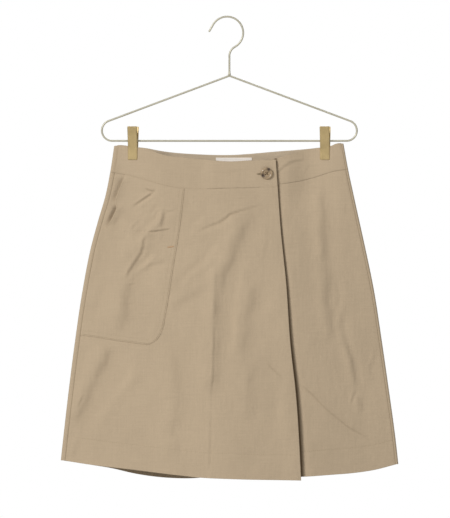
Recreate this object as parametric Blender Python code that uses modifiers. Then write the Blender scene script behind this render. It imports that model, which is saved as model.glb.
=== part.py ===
"""Wrap skort hanging from a wire hanger with two clips.

Frame: +Z up, the wearer's front faces -Y. The origin is the inner top of the hanger's hook, right
above its stem. Tables and constants are in millimetres, and `drop` is the distance below the
origin. Meshes are made in metres. Left and right are as seen from the front.

The cloth is a set of walls on one flattened tube. The tube's outer face comes from SECTIONS, a row
for each height, and each layer lies a stated inset inside that face.
"""
import math
from typing import NamedTuple

import bmesh
import bpy
import numpy as np

MM = 0.001

# ---- cloth thickness and clearances -----------------------------------------------------------
BAND_WALL = 2.4
CLOTH_WALL = 1.0
LABEL_WALL = 1.0
SEAM_GAP = 0.35
BAND_INSET = BAND_WALL / 2
SKIRT_INSET = CLOTH_WALL / 2
SHORTS_INSET = BAND_WALL + 0.1
BAND_LAP = BAND_WALL + SEAM_GAP          # how far the upper waistband lies in front of the lower
SKIRT_LAP = 1.7                          # the same for the lapped front panels


# ---- the flattened tube -----------------------------------------------------------------------
class Section(NamedTuple):
    """The tube's outer face at one height."""

    drop: float
    half_width: float
    shift: float        # of its middle, to the right
    front: float        # depth in front of the hanger's plane, at the middle
    back: float
    end_radius: float   # of the folded sides


SECTIONS = (
    Section(196.0, 177.6, -0.7, 10.0, 11.0, 3.0),
    Section(239.0, 184.8, 0.0, 12.0, 12.5, 3.0),
    Section(276.0, 192.5, 0.3, 14.5, 14.5, 3.2),
    Section(313.0, 202.0, -1.0, 17.5, 16.5, 3.4),
    Section(351.0, 211.4, -2.0, 20.0, 18.0, 3.5),
    Section(425.0, 226.3, -1.7, 24.5, 21.5, 3.5),
    Section(499.0, 237.5, -1.5, 27.5, 24.5, 3.5),
    Section(574.0, 247.7, -0.9, 30.0, 27.0, 3.5),
    Section(648.0, 257.1, -0.1, 32.5, 29.0, 3.5),
    Section(716.0, 264.5, 0.0, 34.5, 30.5, 3.5),
)


class EdgePoint(NamedTuple):
    """A point of a seam or an edge that runs across the garment."""

    x: float
    drop: float


WAIST_EDGE_FRONT = (
    EdgePoint(-178.0, 198.7), EdgePoint(-149.0, 200.3), EdgePoint(-125.0, 204.0),
    EdgePoint(-106.0, 211.5), EdgePoint(-72.0, 216.5), EdgePoint(-38.0, 220.1),
    EdgePoint(0.0, 223.2), EdgePoint(34.0, 221.4), EdgePoint(75.0, 220.5),
)
WAIST_EDGE_UNDER = (
    EdgePoint(-30.0, 224.0), EdgePoint(40.0, 222.5), EdgePoint(76.0, 217.0),
    EdgePoint(95.0, 211.0), EdgePoint(114.0, 206.0), EdgePoint(149.0, 200.3),
    EdgePoint(178.0, 197.0),
)
WAIST_EDGE_BACK = (
    EdgePoint(-178.0, 198.7), EdgePoint(-131.0, 202.1), EdgePoint(-107.0, 206.5),
    EdgePoint(-46.0, 211.8), EdgePoint(0.0, 212.7), EdgePoint(70.0, 207.6),
    EdgePoint(134.0, 202.1), EdgePoint(178.0, 197.0),
)
WAIST_SEAM_OVER = (
    EdgePoint(-183.0, 239.2), EdgePoint(-158.7, 243.5), EdgePoint(-131.3, 250.8),
    EdgePoint(-106.0, 258.2), EdgePoint(-78.3, 264.0), EdgePoint(-50.7, 265.2),
    EdgePoint(0.0, 264.0), EdgePoint(75.0, 262.5),
)
WAIST_SEAM_UNDER = (
    EdgePoint(-30.0, 264.0), EdgePoint(40.0, 261.5), EdgePoint(78.6, 257.6),
    EdgePoint(104.0, 254.0), EdgePoint(133.8, 246.6), EdgePoint(161.2, 238.1),
    EdgePoint(183.0, 234.5),
)
WAIST_SEAM_BACK = (
    EdgePoint(-183.0, 239.2), EdgePoint(-120.0, 247.0), EdgePoint(-46.0, 254.0),
    EdgePoint(0.0, 255.0), EdgePoint(70.0, 250.0), EdgePoint(134.0, 243.5),
    EdgePoint(183.0, 234.5),
)
ROW_GUIDE_TOP = (
    EdgePoint(-183.0, 239.2), EdgePoint(-158.7, 243.5), EdgePoint(-106.0, 258.2),
    EdgePoint(-78.3, 264.0), EdgePoint(0.0, 264.0), EdgePoint(60.0, 261.0),
    EdgePoint(104.0, 254.0), EdgePoint(161.2, 238.1), EdgePoint(183.0, 234.5),
)
POCKET_BOTTOM = (
    EdgePoint(-237.0, 491.0), EdgePoint(-218.0, 493.4), EdgePoint(-160.9, 501.9),
    EdgePoint(-122.8, 506.5), EdgePoint(0.0, 508.0), EdgePoint(240.0, 500.0),
)
HEM_OVER = (
    EdgePoint(-262.0, 684.6), EdgePoint(-222.3, 690.7), EdgePoint(-147.9, 699.1),
    EdgePoint(-82.8, 706.5), EdgePoint(-47.4, 710.2), EdgePoint(0.9, 712.4),
    EdgePoint(110.0, 714.9),
)
HEM_UNDER = (
    EdgePoint(-32.0, 707.0), EdgePoint(60.0, 710.5), EdgePoint(111.6, 710.2),
    EdgePoint(157.5, 705.4), EdgePoint(224.4, 697.8), EdgePoint(262.0, 686.8),
)
HEM_BACK = (
    EdgePoint(-262.0, 684.6), EdgePoint(-222.0, 691.5), EdgePoint(-181.4, 698.1),
    EdgePoint(-147.9, 705.6), EdgePoint(-120.0, 709.6), EdgePoint(-92.1, 711.8),
    EdgePoint(-64.2, 713.2), EdgePoint(-30.0, 712.0), EdgePoint(60.0, 711.5),
    EdgePoint(157.5, 703.5), EdgePoint(224.4, 695.5), EdgePoint(262.0, 686.8),
)


class SidePoint(NamedTuple):
    """A point of an edge that runs down the garment."""

    drop: float
    x: float


WRAP_EDGE = (
    SidePoint(215.0, 71.0), SidePoint(259.3, 73.9), SidePoint(327.0, 78.6),
    SidePoint(411.8, 87.1), SidePoint(505.0, 93.5), SidePoint(583.1, 102.0),
    SidePoint(669.1, 107.7), SidePoint(716.0, 110.0),
)
UNDER_EDGE = (SidePoint(215.0, -17.0), SidePoint(369.2, -21.1), SidePoint(716.0, -31.0))
POCKET_OPENING = (
    SidePoint(245.0, -162.5), SidePoint(272.0, -174.5), SidePoint(290.0, -175.5),
    SidePoint(318.0, -187.0), SidePoint(330.0, -196.5),
)
POCKET_SEAM = (
    SidePoint(263.5, -69.4), SidePoint(327.1, -77.2), SidePoint(390.6, -87.7),
    SidePoint(481.7, -102.6), SidePoint(494.0, -106.5), SidePoint(510.0, -122.8),
)

SIDE_POINTS = 5                          # of a folded side's rounding
SEAM_INSET_LEFT = 7.0                    # the left side seam sits on the front face
SEAM_INSET_RIGHT = 0.8                   # past the end of the right side's rounding
LENS_POWER = 1.3                         # roundness of the tube's section towards its sides
OVERLAP_RAMP = (-36.0, -3.0)             # from the hidden edge, where the upper layer steps out
FREE_EDGE_LIFT = 3.0                     # of the wrap's lower corner
FREE_EDGE_REACH = 26.0
FREE_EDGE_DROPS = (265.0, 700.0)         # between which the lift grows
OPENING_GAPE = 2.0                       # of the pocket's hand opening
OPENING_REACH = 10.0
OPENING_TOP_DROPS = (246.0, 262.0)       # between which the gape grows
OPENING_END_DROPS = (305.0, 330.0)       # and closes again


# ---- folds ------------------------------------------------------------------------------------
class Fold(NamedTuple):
    """A straight run of a fold; height is outward, so a trough is negative."""

    x0: float
    drop0: float
    x1: float
    drop1: float
    height: float
    reach: float        # half the width at 60 % of the height


FOLDS_FRONT = (
    Fold(35.0, 300.0, -10.0, 390.0, -2.6, 17.0),       # trough below the button
    Fold(-10.0, 390.0, -17.7, 640.0, -2.4, 17.0),
    Fold(43.0, 320.0, 8.0, 560.0, 2.6, 17.0),          # ridge beside it
    Fold(144.0, 275.0, 153.0, 420.0, -3.2, 17.0),      # trough below the right clip
    Fold(153.0, 420.0, 197.0, 570.0, -3.0, 19.0),
    Fold(108.0, 566.0, 250.0, 656.0, -2.0, 17.0),      # crease across the lower panel
    Fold(-127.0, 331.0, -161.0, 407.0, -3.0, 15.0),    # long trough through the pocket
    Fold(-166.0, 412.0, -180.0, 500.0, -2.6, 18.0),
    Fold(-180.0, 505.0, -245.0, 634.0, -3.2, 20.0),
    Fold(-95.0, 500.0, -74.0, 716.0, -3.2, 19.0),
    Fold(-40.0, 540.0, -38.0, 716.0, 2.2, 16.0),
    Fold(-135.0, 560.0, -150.0, 716.0, 2.8, 20.0),
    Fold(200.0, 600.0, 190.0, 716.0, 2.4, 20.0),
)
FOLDS_BEGIN = (262.0, 300.0)             # drops between which the folds grow to their height
LEAST_DEPTH = 2.9                        # of the outer face, under the deepest trough
LEAST_ROOM = 0.05
RIDGE_ROOM = 6.0                         # a ridge keeps its height where the tube is this much deeper
FOLDS_BACK = (
    Fold(-149.0, 280.0, -168.0, 700.0, -3.0, 22.0),
    Fold(-60.0, 420.0, -70.0, 716.0, 3.0, 24.0),
    Fold(40.0, 330.0, 62.0, 716.0, -3.0, 22.0),
    Fold(150.0, 285.0, 182.0, 716.0, -3.0, 22.0),
)

# ---- hanger -----------------------------------------------------------------------------------
WIRE_RADIUS = 1.5
HOOK_RADIUS = 25.0                       # of the wire's middle
HOOK_SHIFT = -3.6                        # of the hook's circle from the stem
HOOK_BOW_DEG = 150.0                     # where the bow ends and the straight tip begins
HOOK_TIP_LENGTH = 11.5
HOOK_RETURN_RADIUS = 16.0                # of the bend back into the stem
APEX_DROP = 89.9
HANGER_HALF_WIDTH = 197.6
HANGER_BAR_DROP = 190.8
SHOULDER_SLOPE = 68.0 / 181.7
APEX_RADIUS = 5.0

CLIP_WIDTH = 15.2
CLIP_SHEET = 1.2
CLIP_TOP = 22.3                          # over the wire
CLIP_BOTTOM = -29.2
CLIP_JAW_TOP = -9.5
CLIP_SPREAD = 8.9                        # of the plates at their top
CLIP_JAW_GAP = 0.4
CLIP_EDGE = 0.35
EAR_WALL = 1.0
EAR_INSET = 0.5                          # from the plate's side
EAR_TOP = 13.0                           # where it leaves the plate, over the wire
EAR_BOTTOM = -9.0
EAR_PAST_WIRE = 3.6
EAR_TIP = 1.6
EAR_BORE_GAP = 0.6
SPRING_RADIUS = 3.4
SPRING_LENGTH = 7.4
SPRING_BORE_GAP = 0.3
BORE_OVERSHOOT = 3.0


class Clip(NamedTuple):
    """A clip on the hanger's bar."""

    name: str
    x: float
    turn_deg: float     # about the vertical


CLIPS = (Clip("left", -149.3, -10.0), Clip("right", 148.4, -9.0))
PINCH_DEPTH = BAND_WALL + SEAM_GAP / 2   # outer half depth of the waistband between the jaws
PINCH_RUN = (11.0, 62.0)                 # from the clip's middle, where the pinch fades
PINCH_DROPS = (225.0, 335.0)
TWIST_RUN = (9.0, 42.0)
TWIST_DROPS = (235.0, 335.0)

# ---- shorts -----------------------------------------------------------------------------------
CROTCH_DROP = 490.0
CROTCH_RUN = 110.0                       # height over which the tube parts into two legs
SHORTS_HEM_DROP = 614.0
SHORTS_SIDE_INSET_TOP = SHORTS_INSET + 0.3
SHORTS_SIDE_INSET = 10.0
SHORTS_INSET_FULL = 6.6
SHORTS_INSET_DROPS = (250.0, 320.0)      # between which the insets grow to their full size
SHORTS_SIDE_EASE = 0.06                  # share of a panel's width over which it opens at its side
MIDDLE_HALF_GAP = 0.25
LEG_DEPTH = 12.5
LEG_PARTING = 12.0                       # half the gap between the hems
EDGE_HALF_DEPTH = CLOTH_WALL / 2 + SEAM_GAP / 2
SHORTS_TOPS = {"front": (ROW_GUIDE_TOP, 2.0), "back": (WAIST_SEAM_BACK, 1.2)}
SIDES = {"left": -1, "right": 1}

# ---- trim -------------------------------------------------------------------------------------
BUTTON_X = 57.9
BUTTON_DROP = 241.5
BUTTON_RADIUS = 9.0
BUTTON_HEIGHT = 2.8
BUTTON_DISH_DEPTH = 0.9
BUTTON_DISH_RADIUS = 5.6
BUTTON_RIM_INNER = 6.8
BUTTON_RIM_OUTER = 8.1
BUTTON_EDGE_HEIGHT = 1.6
BUTTON_BASE_RADIUS = 8.3
BUTTON_STEPS = 20
BUTTON_HOLE_RADIUS = 0.9
BUTTON_HOLE_PITCH = 3.4
THREAD_RADIUS = 1.0
THREAD_SHANK = 1.1
THREAD_END_GAP = 0.4                     # to the lower waistband
BUTTONHOLE_LENGTH = 21.0
BUTTONHOLE_HEIGHT = 2.8
BUTTONHOLE_PAST_BUTTON = 3.4             # right of the button's middle
CUTTER_DEPTH = 12.0
LABEL_X = (-21.0, 35.0)
LABEL_DROP = (217.0, 237.0)


# ---- curves through tables --------------------------------------------------------------------
def curve_through(xs, ys, x):
    """A smooth curve through the points: cubic pieces whose slopes come from the neighbours."""
    xs, ys = np.asarray(xs, float), np.asarray(ys, float)
    x = np.clip(np.asarray(x, float), xs[0], xs[-1])
    slopes = np.gradient(ys, xs)
    i = np.clip(np.searchsorted(xs, x) - 1, 0, len(xs) - 2)
    step = xs[i + 1] - xs[i]
    t = (x - xs[i]) / step
    return ((2 * t**3 - 3 * t**2 + 1) * ys[i] + (t**3 - 2 * t**2 + t) * step * slopes[i]
            + (3 * t**2 - 2 * t**3) * ys[i + 1] + (t**3 - t**2) * step * slopes[i + 1])


def edge_drop(points, x):
    """Drop of a crosswise edge at x."""
    return curve_through([p.x for p in points], [p.drop for p in points], x)


def edge_x(points, drop):
    """Place of a lengthwise edge at a drop."""
    return curve_through([p.drop for p in points], [p.x for p in points], drop)


def section(field, drop):
    """One column of SECTIONS at a drop."""
    return curve_through([s.drop for s in SECTIONS], [getattr(s, field) for s in SECTIONS], drop)


def ease(start, end, value):
    """Zero up to start, one from end on, smooth between."""
    t = np.clip((np.asarray(value, float) - start) / (end - start), 0.0, 1.0)
    return t * t * (3.0 - 2.0 * t)


# ---- the tube's faces -------------------------------------------------------------------------
def turn_x(side, drop):
    """Middle of the rounding of a folded side; side -1 is the left one, +1 the right one."""
    return section("shift", drop) + side * (section("half_width", drop) - section("end_radius", drop))


def left_limit(drop):
    """Place of the left side seam, on the front face."""
    return section("shift", drop) - section("half_width", drop) + SEAM_INSET_LEFT


def right_limit(drop):
    """Place of the right side seam, where the front face ends."""
    return turn_x(1, drop) - SEAM_INSET_RIGHT


def fold_height(folds, x, drop):
    """Sum of the folds at a place; each fades out over its reach, past its ends too."""
    total = np.zeros(np.broadcast(x, drop).shape)
    for fold in folds:
        along = np.array([fold.x1 - fold.x0, fold.drop1 - fold.drop0])
        length = float(np.hypot(*along))
        along /= length
        dx, dd = x - fold.x0, drop - fold.drop0
        run = np.clip(dx * along[0] + dd * along[1], 0.0, length)
        off = np.hypot(dx - run * along[0], dd - run * along[1])
        total = total + fold.height * np.exp(-((off / fold.reach) ** 2))
    return total


def half_depth(side, x, drop):
    """Outer half depth of the tube in front ("front") or behind ("back"), without folds."""
    end = section("end_radius", drop)
    middle = section(side, drop)
    reach = section("half_width", drop) - end
    across = np.clip((x - section("shift", drop)) / reach, -1.0, 1.0)
    lens = end + (middle - end) * np.maximum(np.cos(across * math.pi / 2), 0.0) ** LENS_POWER
    pinch = (1 - ease(*PINCH_RUN, np.abs(np.abs(x) - abs(CLIPS[0].x))))
    pinch = pinch * (1 - ease(*PINCH_DROPS, drop))
    return lens * (1 - pinch) + PINCH_DEPTH * pinch


def twist(x, drop):
    """How far the cloth's middle leaves the hanger's plane where the turned clips hold it."""
    total = 0.0
    for clip in CLIPS:
        off = x - clip.x
        total = total + (math.tan(math.radians(clip.turn_deg)) * off
                         * (1 - ease(*TWIST_RUN, np.abs(off))))
    return total * (1 - ease(*TWIST_DROPS, drop))


def face_y(side, x, drop, inset, lap=0.0):
    """Y of a layer that lies `inset` inside the tube's face and `lap` in front of it."""
    folds = FOLDS_FRONT if side == "front" else FOLDS_BACK
    outer = half_depth(side, x, drop)
    height = ease(*FOLDS_BEGIN, drop) * fold_height(folds, x, drop)
    room = np.maximum(outer - LEAST_DEPTH, LEAST_ROOM)
    trough = np.minimum(height, 0.0)
    height = np.maximum(height, 0.0) * np.minimum(room / RIDGE_ROOM, 1.0) + trough / (1 - trough / room)
    depth = outer + height - inset + lap
    return twist(x, drop) + (-depth if side == "front" else depth)


def overlap(x, drop, lap, lift_edge):
    """Distance of the upper layer in front of the lower one, with its free edge standing off."""
    ramp = ease(*OVERLAP_RAMP, x - edge_x(UNDER_EDGE, drop))
    to_edge = edge_x(WRAP_EDGE, drop) - x
    lift = lift_edge * np.exp(-((to_edge / FREE_EDGE_REACH) ** 2)) * ease(*FREE_EDGE_DROPS, drop)
    return ramp * lap + lift


# ---- grids of points --------------------------------------------------------------------------
def crossing(column_x, row_drop):
    """Where a column, x by drop, meets a row, drop by x."""
    x = 0.0
    for _ in range(8):
        drop = float(row_drop(x))
        x = float(column_x(drop))
    return x, drop


def grid(columns, rows, y_of):
    """Points of a wall's middle face, an array of rows by columns by three."""
    points = np.zeros((len(rows), len(columns), 3))
    for i, row_drop in enumerate(rows):
        for j, column_x in enumerate(columns):
            x, drop = crossing(column_x, row_drop)
            points[i, j] = x, float(y_of(x, drop)), -drop
    return points


def between(first, second, share):
    """A line that lies between two others at a share of the way."""
    return lambda value: (1 - share) * first(value) + share * second(value)


def spaced(first, second, count):
    """count + 1 lines from the first to the second."""
    return [between(first, second, k / count) for k in range(count + 1)]


def drop_line(points, offset=0.0):
    """A crosswise edge as a function of x."""
    return lambda x: edge_drop(points, x) + offset


def x_line(points, offset=0.0):
    """A lengthwise edge as a function of the drop."""
    return lambda drop: edge_x(points, drop) + offset


def left_seam_line(drop):
    """Left edge of the front panels, half a seam gap right of the seam."""
    return left_limit(drop) + SEAM_GAP / 2


def right_seam_line(drop):
    """Right edge of the front panels."""
    return right_limit(drop) - SEAM_GAP / 2


LEFT_COLUMN_COUNT = 12
LAP_COLUMN_COUNT = 6
RIGHT_COLUMN_COUNT = 7
BACK_COLUMN_COUNT = 21
BAND_OVER_COLUMN_COUNT = 26
BAND_UNDER_COLUMN_COUNT = 20
BAND_BACK_COLUMN_COUNT = 30
BAND_ROW_COUNT = 2
SHORTS_GRID_COUNT = 10
LEFT_COLUMNS = spaced(left_seam_line, x_line(UNDER_EDGE), LEFT_COLUMN_COUNT)
LAP_COLUMNS = spaced(x_line(UNDER_EDGE), x_line(WRAP_EDGE), LAP_COLUMN_COUNT)
RIGHT_COLUMNS = spaced(x_line(WRAP_EDGE), right_seam_line, RIGHT_COLUMN_COUNT)
UPPER_ROW_COUNT = 9
LOWER_ROW_COUNT = 8
UPPER_ROWS = spaced(drop_line(ROW_GUIDE_TOP), drop_line(POCKET_BOTTOM), UPPER_ROW_COUNT)


def front_rows(seam, hem):
    """Rows of a front panel: the shared ones, between its own seam and hem."""
    low_rows = spaced(drop_line(POCKET_BOTTOM), drop_line(hem), LOWER_ROW_COUNT)[1:]
    return [drop_line(seam, SEAM_GAP)] + UPPER_ROWS[1:] + low_rows


def back_rows():
    """Rows of the back panel, which meet those of the front at the side seams."""
    upper = spaced(drop_line(WAIST_SEAM_BACK, SEAM_GAP), drop_line(POCKET_BOTTOM), UPPER_ROW_COUNT)
    return upper + spaced(drop_line(POCKET_BOTTOM), drop_line(HEM_BACK), LOWER_ROW_COUNT)[1:]


# ---- objects ----------------------------------------------------------------------------------
def clear_scene():
    """Removes what the file opens with."""
    for obj in list(bpy.data.objects):
        bpy.data.objects.remove(obj, do_unlink=True)


def material(name, colour, roughness, metallic=0.0):
    """A Principled material."""
    made = bpy.data.materials.new(name)
    made.use_nodes = True
    shader = made.node_tree.nodes["Principled BSDF"]
    shader.inputs["Base Color"].default_value = (*colour, 1.0)
    shader.inputs["Roughness"].default_value = roughness
    shader.inputs["Metallic"].default_value = metallic
    return made


def collection(name, hidden=False):
    """A collection under the scene's own."""
    made = bpy.data.collections.new(name)
    made.hide_render = hidden
    bpy.context.scene.collection.children.link(made)
    return made


def place(name, data, group, finish):
    """Links an object that shows a mesh or a curve."""
    obj = bpy.data.objects.new(name, data)
    if finish is not None:
        data.materials.append(finish)
    group.objects.link(obj)
    return obj


def mesh_from(name, vertices, faces):
    """A mesh from points in millimetres, with coinciding points joined and flat slivers removed."""
    mesh = bpy.data.meshes.new(name)
    mesh.from_pydata([tuple(c * MM for c in v) for v in vertices], [], faces)
    work = bmesh.new()
    work.from_mesh(mesh)
    bmesh.ops.remove_doubles(work, verts=work.verts, dist=0.02 * MM)
    bmesh.ops.dissolve_degenerate(work, edges=work.edges, dist=0.01 * MM)
    bmesh.ops.recalc_face_normals(work, faces=work.faces)
    work.to_mesh(mesh)
    work.free()
    mesh.update()
    return mesh


def solidify(obj, thickness):
    """Gives an open surface a wall, half to each side."""
    wall = obj.modifiers.new("Wall", "SOLIDIFY")
    wall.thickness = thickness * MM
    wall.offset = 0.0


def wall_object(name, points, thickness, group, finish):
    """A cloth wall over a grid of points."""
    rows, columns = points.shape[:2]
    index = np.arange(rows * columns).reshape(rows, columns)
    faces = np.stack([index[:-1, :-1], index[:-1, 1:], index[1:, 1:], index[1:, :-1]], axis=-1)
    mesh = mesh_from(name, points.reshape(-1, 3), faces.reshape(-1, 4).tolist())
    obj = place(name, mesh, group, finish)
    solidify(obj, thickness)
    mesh.shade_smooth()
    return obj


def moved_out(points, distance):
    """The grid's points moved along its own normals, towards the front."""
    across = np.gradient(points, axis=1)
    down = np.gradient(points, axis=0)
    normal = np.cross(across, down)
    normal /= np.linalg.norm(normal, axis=-1, keepdims=True)
    normal *= -np.sign(normal[..., 1:2])
    return points + normal * distance


def along_row(row, x):
    """The point of a row's line of points at x."""
    return np.array([np.interp(x, row[:, 0], row[:, k]) for k in range(3)])


# ---- skirt ------------------------------------------------------------------------------------
def over_panel_points():
    """Middle face of the lapped front panel."""
    columns = LEFT_COLUMNS + LAP_COLUMNS[1:]
    return grid(columns, front_rows(WAIST_SEAM_OVER, HEM_OVER),
                lambda x, drop: face_y("front", x, drop, SKIRT_INSET,
                                       overlap(x, drop, SKIRT_LAP, FREE_EDGE_LIFT)))


def under_panel_points():
    """Middle face of the lower front panel."""
    columns = LAP_COLUMNS + RIGHT_COLUMNS[1:]
    return grid(columns, front_rows(WAIST_SEAM_UNDER, HEM_UNDER),
                lambda x, drop: face_y("front", x, drop, SKIRT_INSET))


def pocket_points(panel):
    """The pocket's grid: the panel's rows, cut off at its opening and its seam, and moved out."""
    skin = moved_out(panel, CLOTH_WALL + SEAM_GAP)[:UPPER_ROW_COUNT + 1]
    patch = skin.copy()
    for i, row in enumerate(skin):
        left = right = row[0, 0]
        for _ in range(4):
            left = float(edge_x(POCKET_OPENING, -along_row(row, left)[2]))
            right = float(edge_x(POCKET_SEAM, -along_row(row, right)[2]))
        if -along_row(row, left)[2] > POCKET_OPENING[-1].drop:
            left = row[0, 0]
        for j in range(row.shape[0]):
            patch[i, j] = along_row(row, min(max(row[j, 0], left), right))
    drop = -patch[..., 2]
    off_edge = patch[..., 0] - edge_x(POCKET_OPENING, drop)
    gape = ease(*OPENING_TOP_DROPS, drop) * (1 - ease(*OPENING_END_DROPS, drop))
    patch[..., 1] -= OPENING_GAPE * gape * np.exp(-((off_edge / OPENING_REACH) ** 2))
    return patch


def side_turn(side, row_drop, inset):
    """Points round one folded side, from its front to its back, with the row's drop there."""
    middle_x, drop = crossing(lambda at: turn_x(side, at), row_drop)
    radius = section("end_radius", drop) - inset
    front_y, back_y = (face_y(face, middle_x, drop, inset) for face in ("front", "back"))
    middle_y, depth = (front_y + back_y) / 2, (back_y - front_y) / 2
    return [(middle_x + side * radius * math.sin(turn), middle_y - depth * math.cos(turn), -drop)
            for turn in np.radians(np.linspace(0.0, 180.0, SIDE_POINTS))]


def back_row(row_drop, inset, count):
    """One row of a back piece: from the left seam round the left side, across, to the right seam."""
    left, right = side_turn(-1, row_drop, inset), side_turn(1, row_drop, inset)
    ends = []
    for limit, gap in ((left_limit, -SEAM_GAP / 2), (right_limit, SEAM_GAP / 2)):
        x, drop = crossing(limit, row_drop)
        ends.append((x + gap, float(face_y("front", x + gap, drop, inset)), -drop))
    across = []
    for x in np.linspace(left[-1][0], right[-1][0], count + 1)[1:-1]:
        drop = float(row_drop(x))
        across.append((x, float(face_y("back", x, drop, inset)), -drop))
    return [ends[0]] + left + across + right[::-1] + [ends[1]]


def back_points(rows, inset, count):
    """Middle face of a back piece."""
    return np.array([back_row(row_drop, inset, count) for row_drop in rows])


def add_skirt(group, cloth):
    """The three panels and the pocket."""
    over = over_panel_points()
    wall_object("front_over_panel", over, CLOTH_WALL, group, cloth)
    wall_object("front_under_panel", under_panel_points(), CLOTH_WALL, group, cloth)
    back = back_points(back_rows(), SKIRT_INSET, BACK_COLUMN_COUNT)
    wall_object("back_panel", back, CLOTH_WALL, group, cloth)
    wall_object("pocket_patch", pocket_points(over), CLOTH_WALL, group, cloth)


# ---- waistband --------------------------------------------------------------------------------
def add_waistband(group, cloth, cutters):
    """The upper and lower front bands, which lap like the panels, and the back band."""
    over_rows = spaced(drop_line(WAIST_EDGE_FRONT), drop_line(WAIST_SEAM_OVER), BAND_ROW_COUNT)
    over = grid(spaced(left_seam_line, x_line(WRAP_EDGE), BAND_OVER_COLUMN_COUNT), over_rows,
                lambda x, drop: face_y("front", x, drop, BAND_INSET, overlap(x, drop, BAND_LAP, 0.0)))
    band = wall_object("waistband_front_over", over, BAND_WALL, group, cloth)
    cut_buttonhole(band, cutters)

    under_rows = spaced(drop_line(WAIST_EDGE_UNDER), drop_line(WAIST_SEAM_UNDER), BAND_ROW_COUNT)
    under = grid(spaced(x_line(UNDER_EDGE), right_seam_line, BAND_UNDER_COLUMN_COUNT), under_rows,
                 lambda x, drop: face_y("front", x, drop, BAND_INSET))
    wall_object("waistband_front_under", under, BAND_WALL, group, cloth)

    back_lines = spaced(drop_line(WAIST_EDGE_BACK), drop_line(WAIST_SEAM_BACK), BAND_ROW_COUNT)
    back = back_points(back_lines, BAND_INSET, BAND_BACK_COLUMN_COUNT)
    wall_object("waistband_back", back, BAND_WALL, group, cloth)


def band_face(x, drop):
    """Outer face of the upper front band, a depth in front of the hanger's plane."""
    return -float(face_y("front", x, drop, 0.0, overlap(x, drop, BAND_LAP, 0.0)))


def cut_buttonhole(band, cutters):
    """Cuts the slot that runs left from the button's middle."""
    middle = BUTTON_X + BUTTONHOLE_PAST_BUTTON - BUTTONHOLE_LENGTH / 2
    work = bmesh.new()
    bmesh.ops.create_cube(work, size=1.0)
    size = (BUTTONHOLE_LENGTH, CUTTER_DEPTH, BUTTONHOLE_HEIGHT)
    at = (middle, -band_face(BUTTON_X, BUTTON_DROP), -BUTTON_DROP)
    for vertex in work.verts:
        vertex.co = [(c * s + o) * MM for c, s, o in zip(vertex.co, size, at)]
    mesh = bpy.data.meshes.new("buttonhole_cutter")
    work.to_mesh(mesh)
    work.free()
    cutter = place("buttonhole_cutter", mesh, cutters, None)
    boolean(band, cutter, "DIFFERENCE")


def boolean(obj, cutter, operation):
    """Adds an exact Boolean and hides its cutter."""
    step = obj.modifiers.new(cutter.name, "BOOLEAN")
    step.object = cutter
    step.operation = operation
    step.solver = "EXACT"
    cutter.hide_render = True
    cutter.display_type = "WIRE"


# ---- shorts -----------------------------------------------------------------------------------
def shorts_outer(side, drop):
    """Outer edge of a leg, at the side seam."""
    growth = ease(*SHORTS_INSET_DROPS, drop)
    inset = SHORTS_SIDE_INSET_TOP + (SHORTS_SIDE_INSET - SHORTS_SIDE_INSET_TOP) * growth
    return section("shift", drop) + side * (section("half_width", drop) - inset)


def shorts_inner(side, drop):
    """Inner edge of a leg: the middle seam, and below the crotch the inner leg seam."""
    share = np.clip((drop - CROTCH_DROP) / (SHORTS_HEM_DROP - CROTCH_DROP), 0.0, 1.0)
    return side * (MIDDLE_HALF_GAP + LEG_PARTING * share)


def shorts_y(face, side, x, drop):
    """Y of the shorts' middle face: one tube at the hips that parts into two flat legs."""
    outer, inner = shorts_outer(side, drop), shorts_inner(side, drop)
    share = np.clip((x - outer) / (inner - outer), 0.0, 1.0)
    inset = SHORTS_INSET + (SHORTS_INSET_FULL - SHORTS_INSET) * ease(*SHORTS_INSET_DROPS, drop)
    tube = np.maximum(half_depth(face, x, drop) - inset, EDGE_HALF_DEPTH)
    tube = EDGE_HALF_DEPTH + (tube - EDGE_HALF_DEPTH) * ease(0.0, SHORTS_SIDE_EASE, share)
    leg = EDGE_HALF_DEPTH + (LEG_DEPTH - EDGE_HALF_DEPTH) * np.sin(math.pi * share)
    parted = ease(CROTCH_DROP - CROTCH_RUN, CROTCH_DROP, drop)
    depth = (1 - parted) * tube + parted * np.minimum(leg, tube)
    return twist(x, drop) + (-depth if face == "front" else depth)


def shorts_points(face, side):
    """Middle face of one panel, from its side seam to its middle and inner leg seams."""
    columns = spaced(lambda drop: shorts_outer(side, drop), lambda drop: shorts_inner(side, drop),
                     SHORTS_GRID_COUNT)
    rows = spaced(drop_line(*SHORTS_TOPS[face]), lambda x: SHORTS_HEM_DROP, SHORTS_GRID_COUNT)
    return grid(columns, rows, lambda x, drop: shorts_y(face, side, x, drop))


def add_shorts(group, cloth):
    """Four panels: front and back of each leg."""
    for face in SHORTS_TOPS:
        for word, side in SIDES.items():
            wall_object(f"shorts_{face}_{word}", shorts_points(face, side), CLOTH_WALL, group, cloth)


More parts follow.
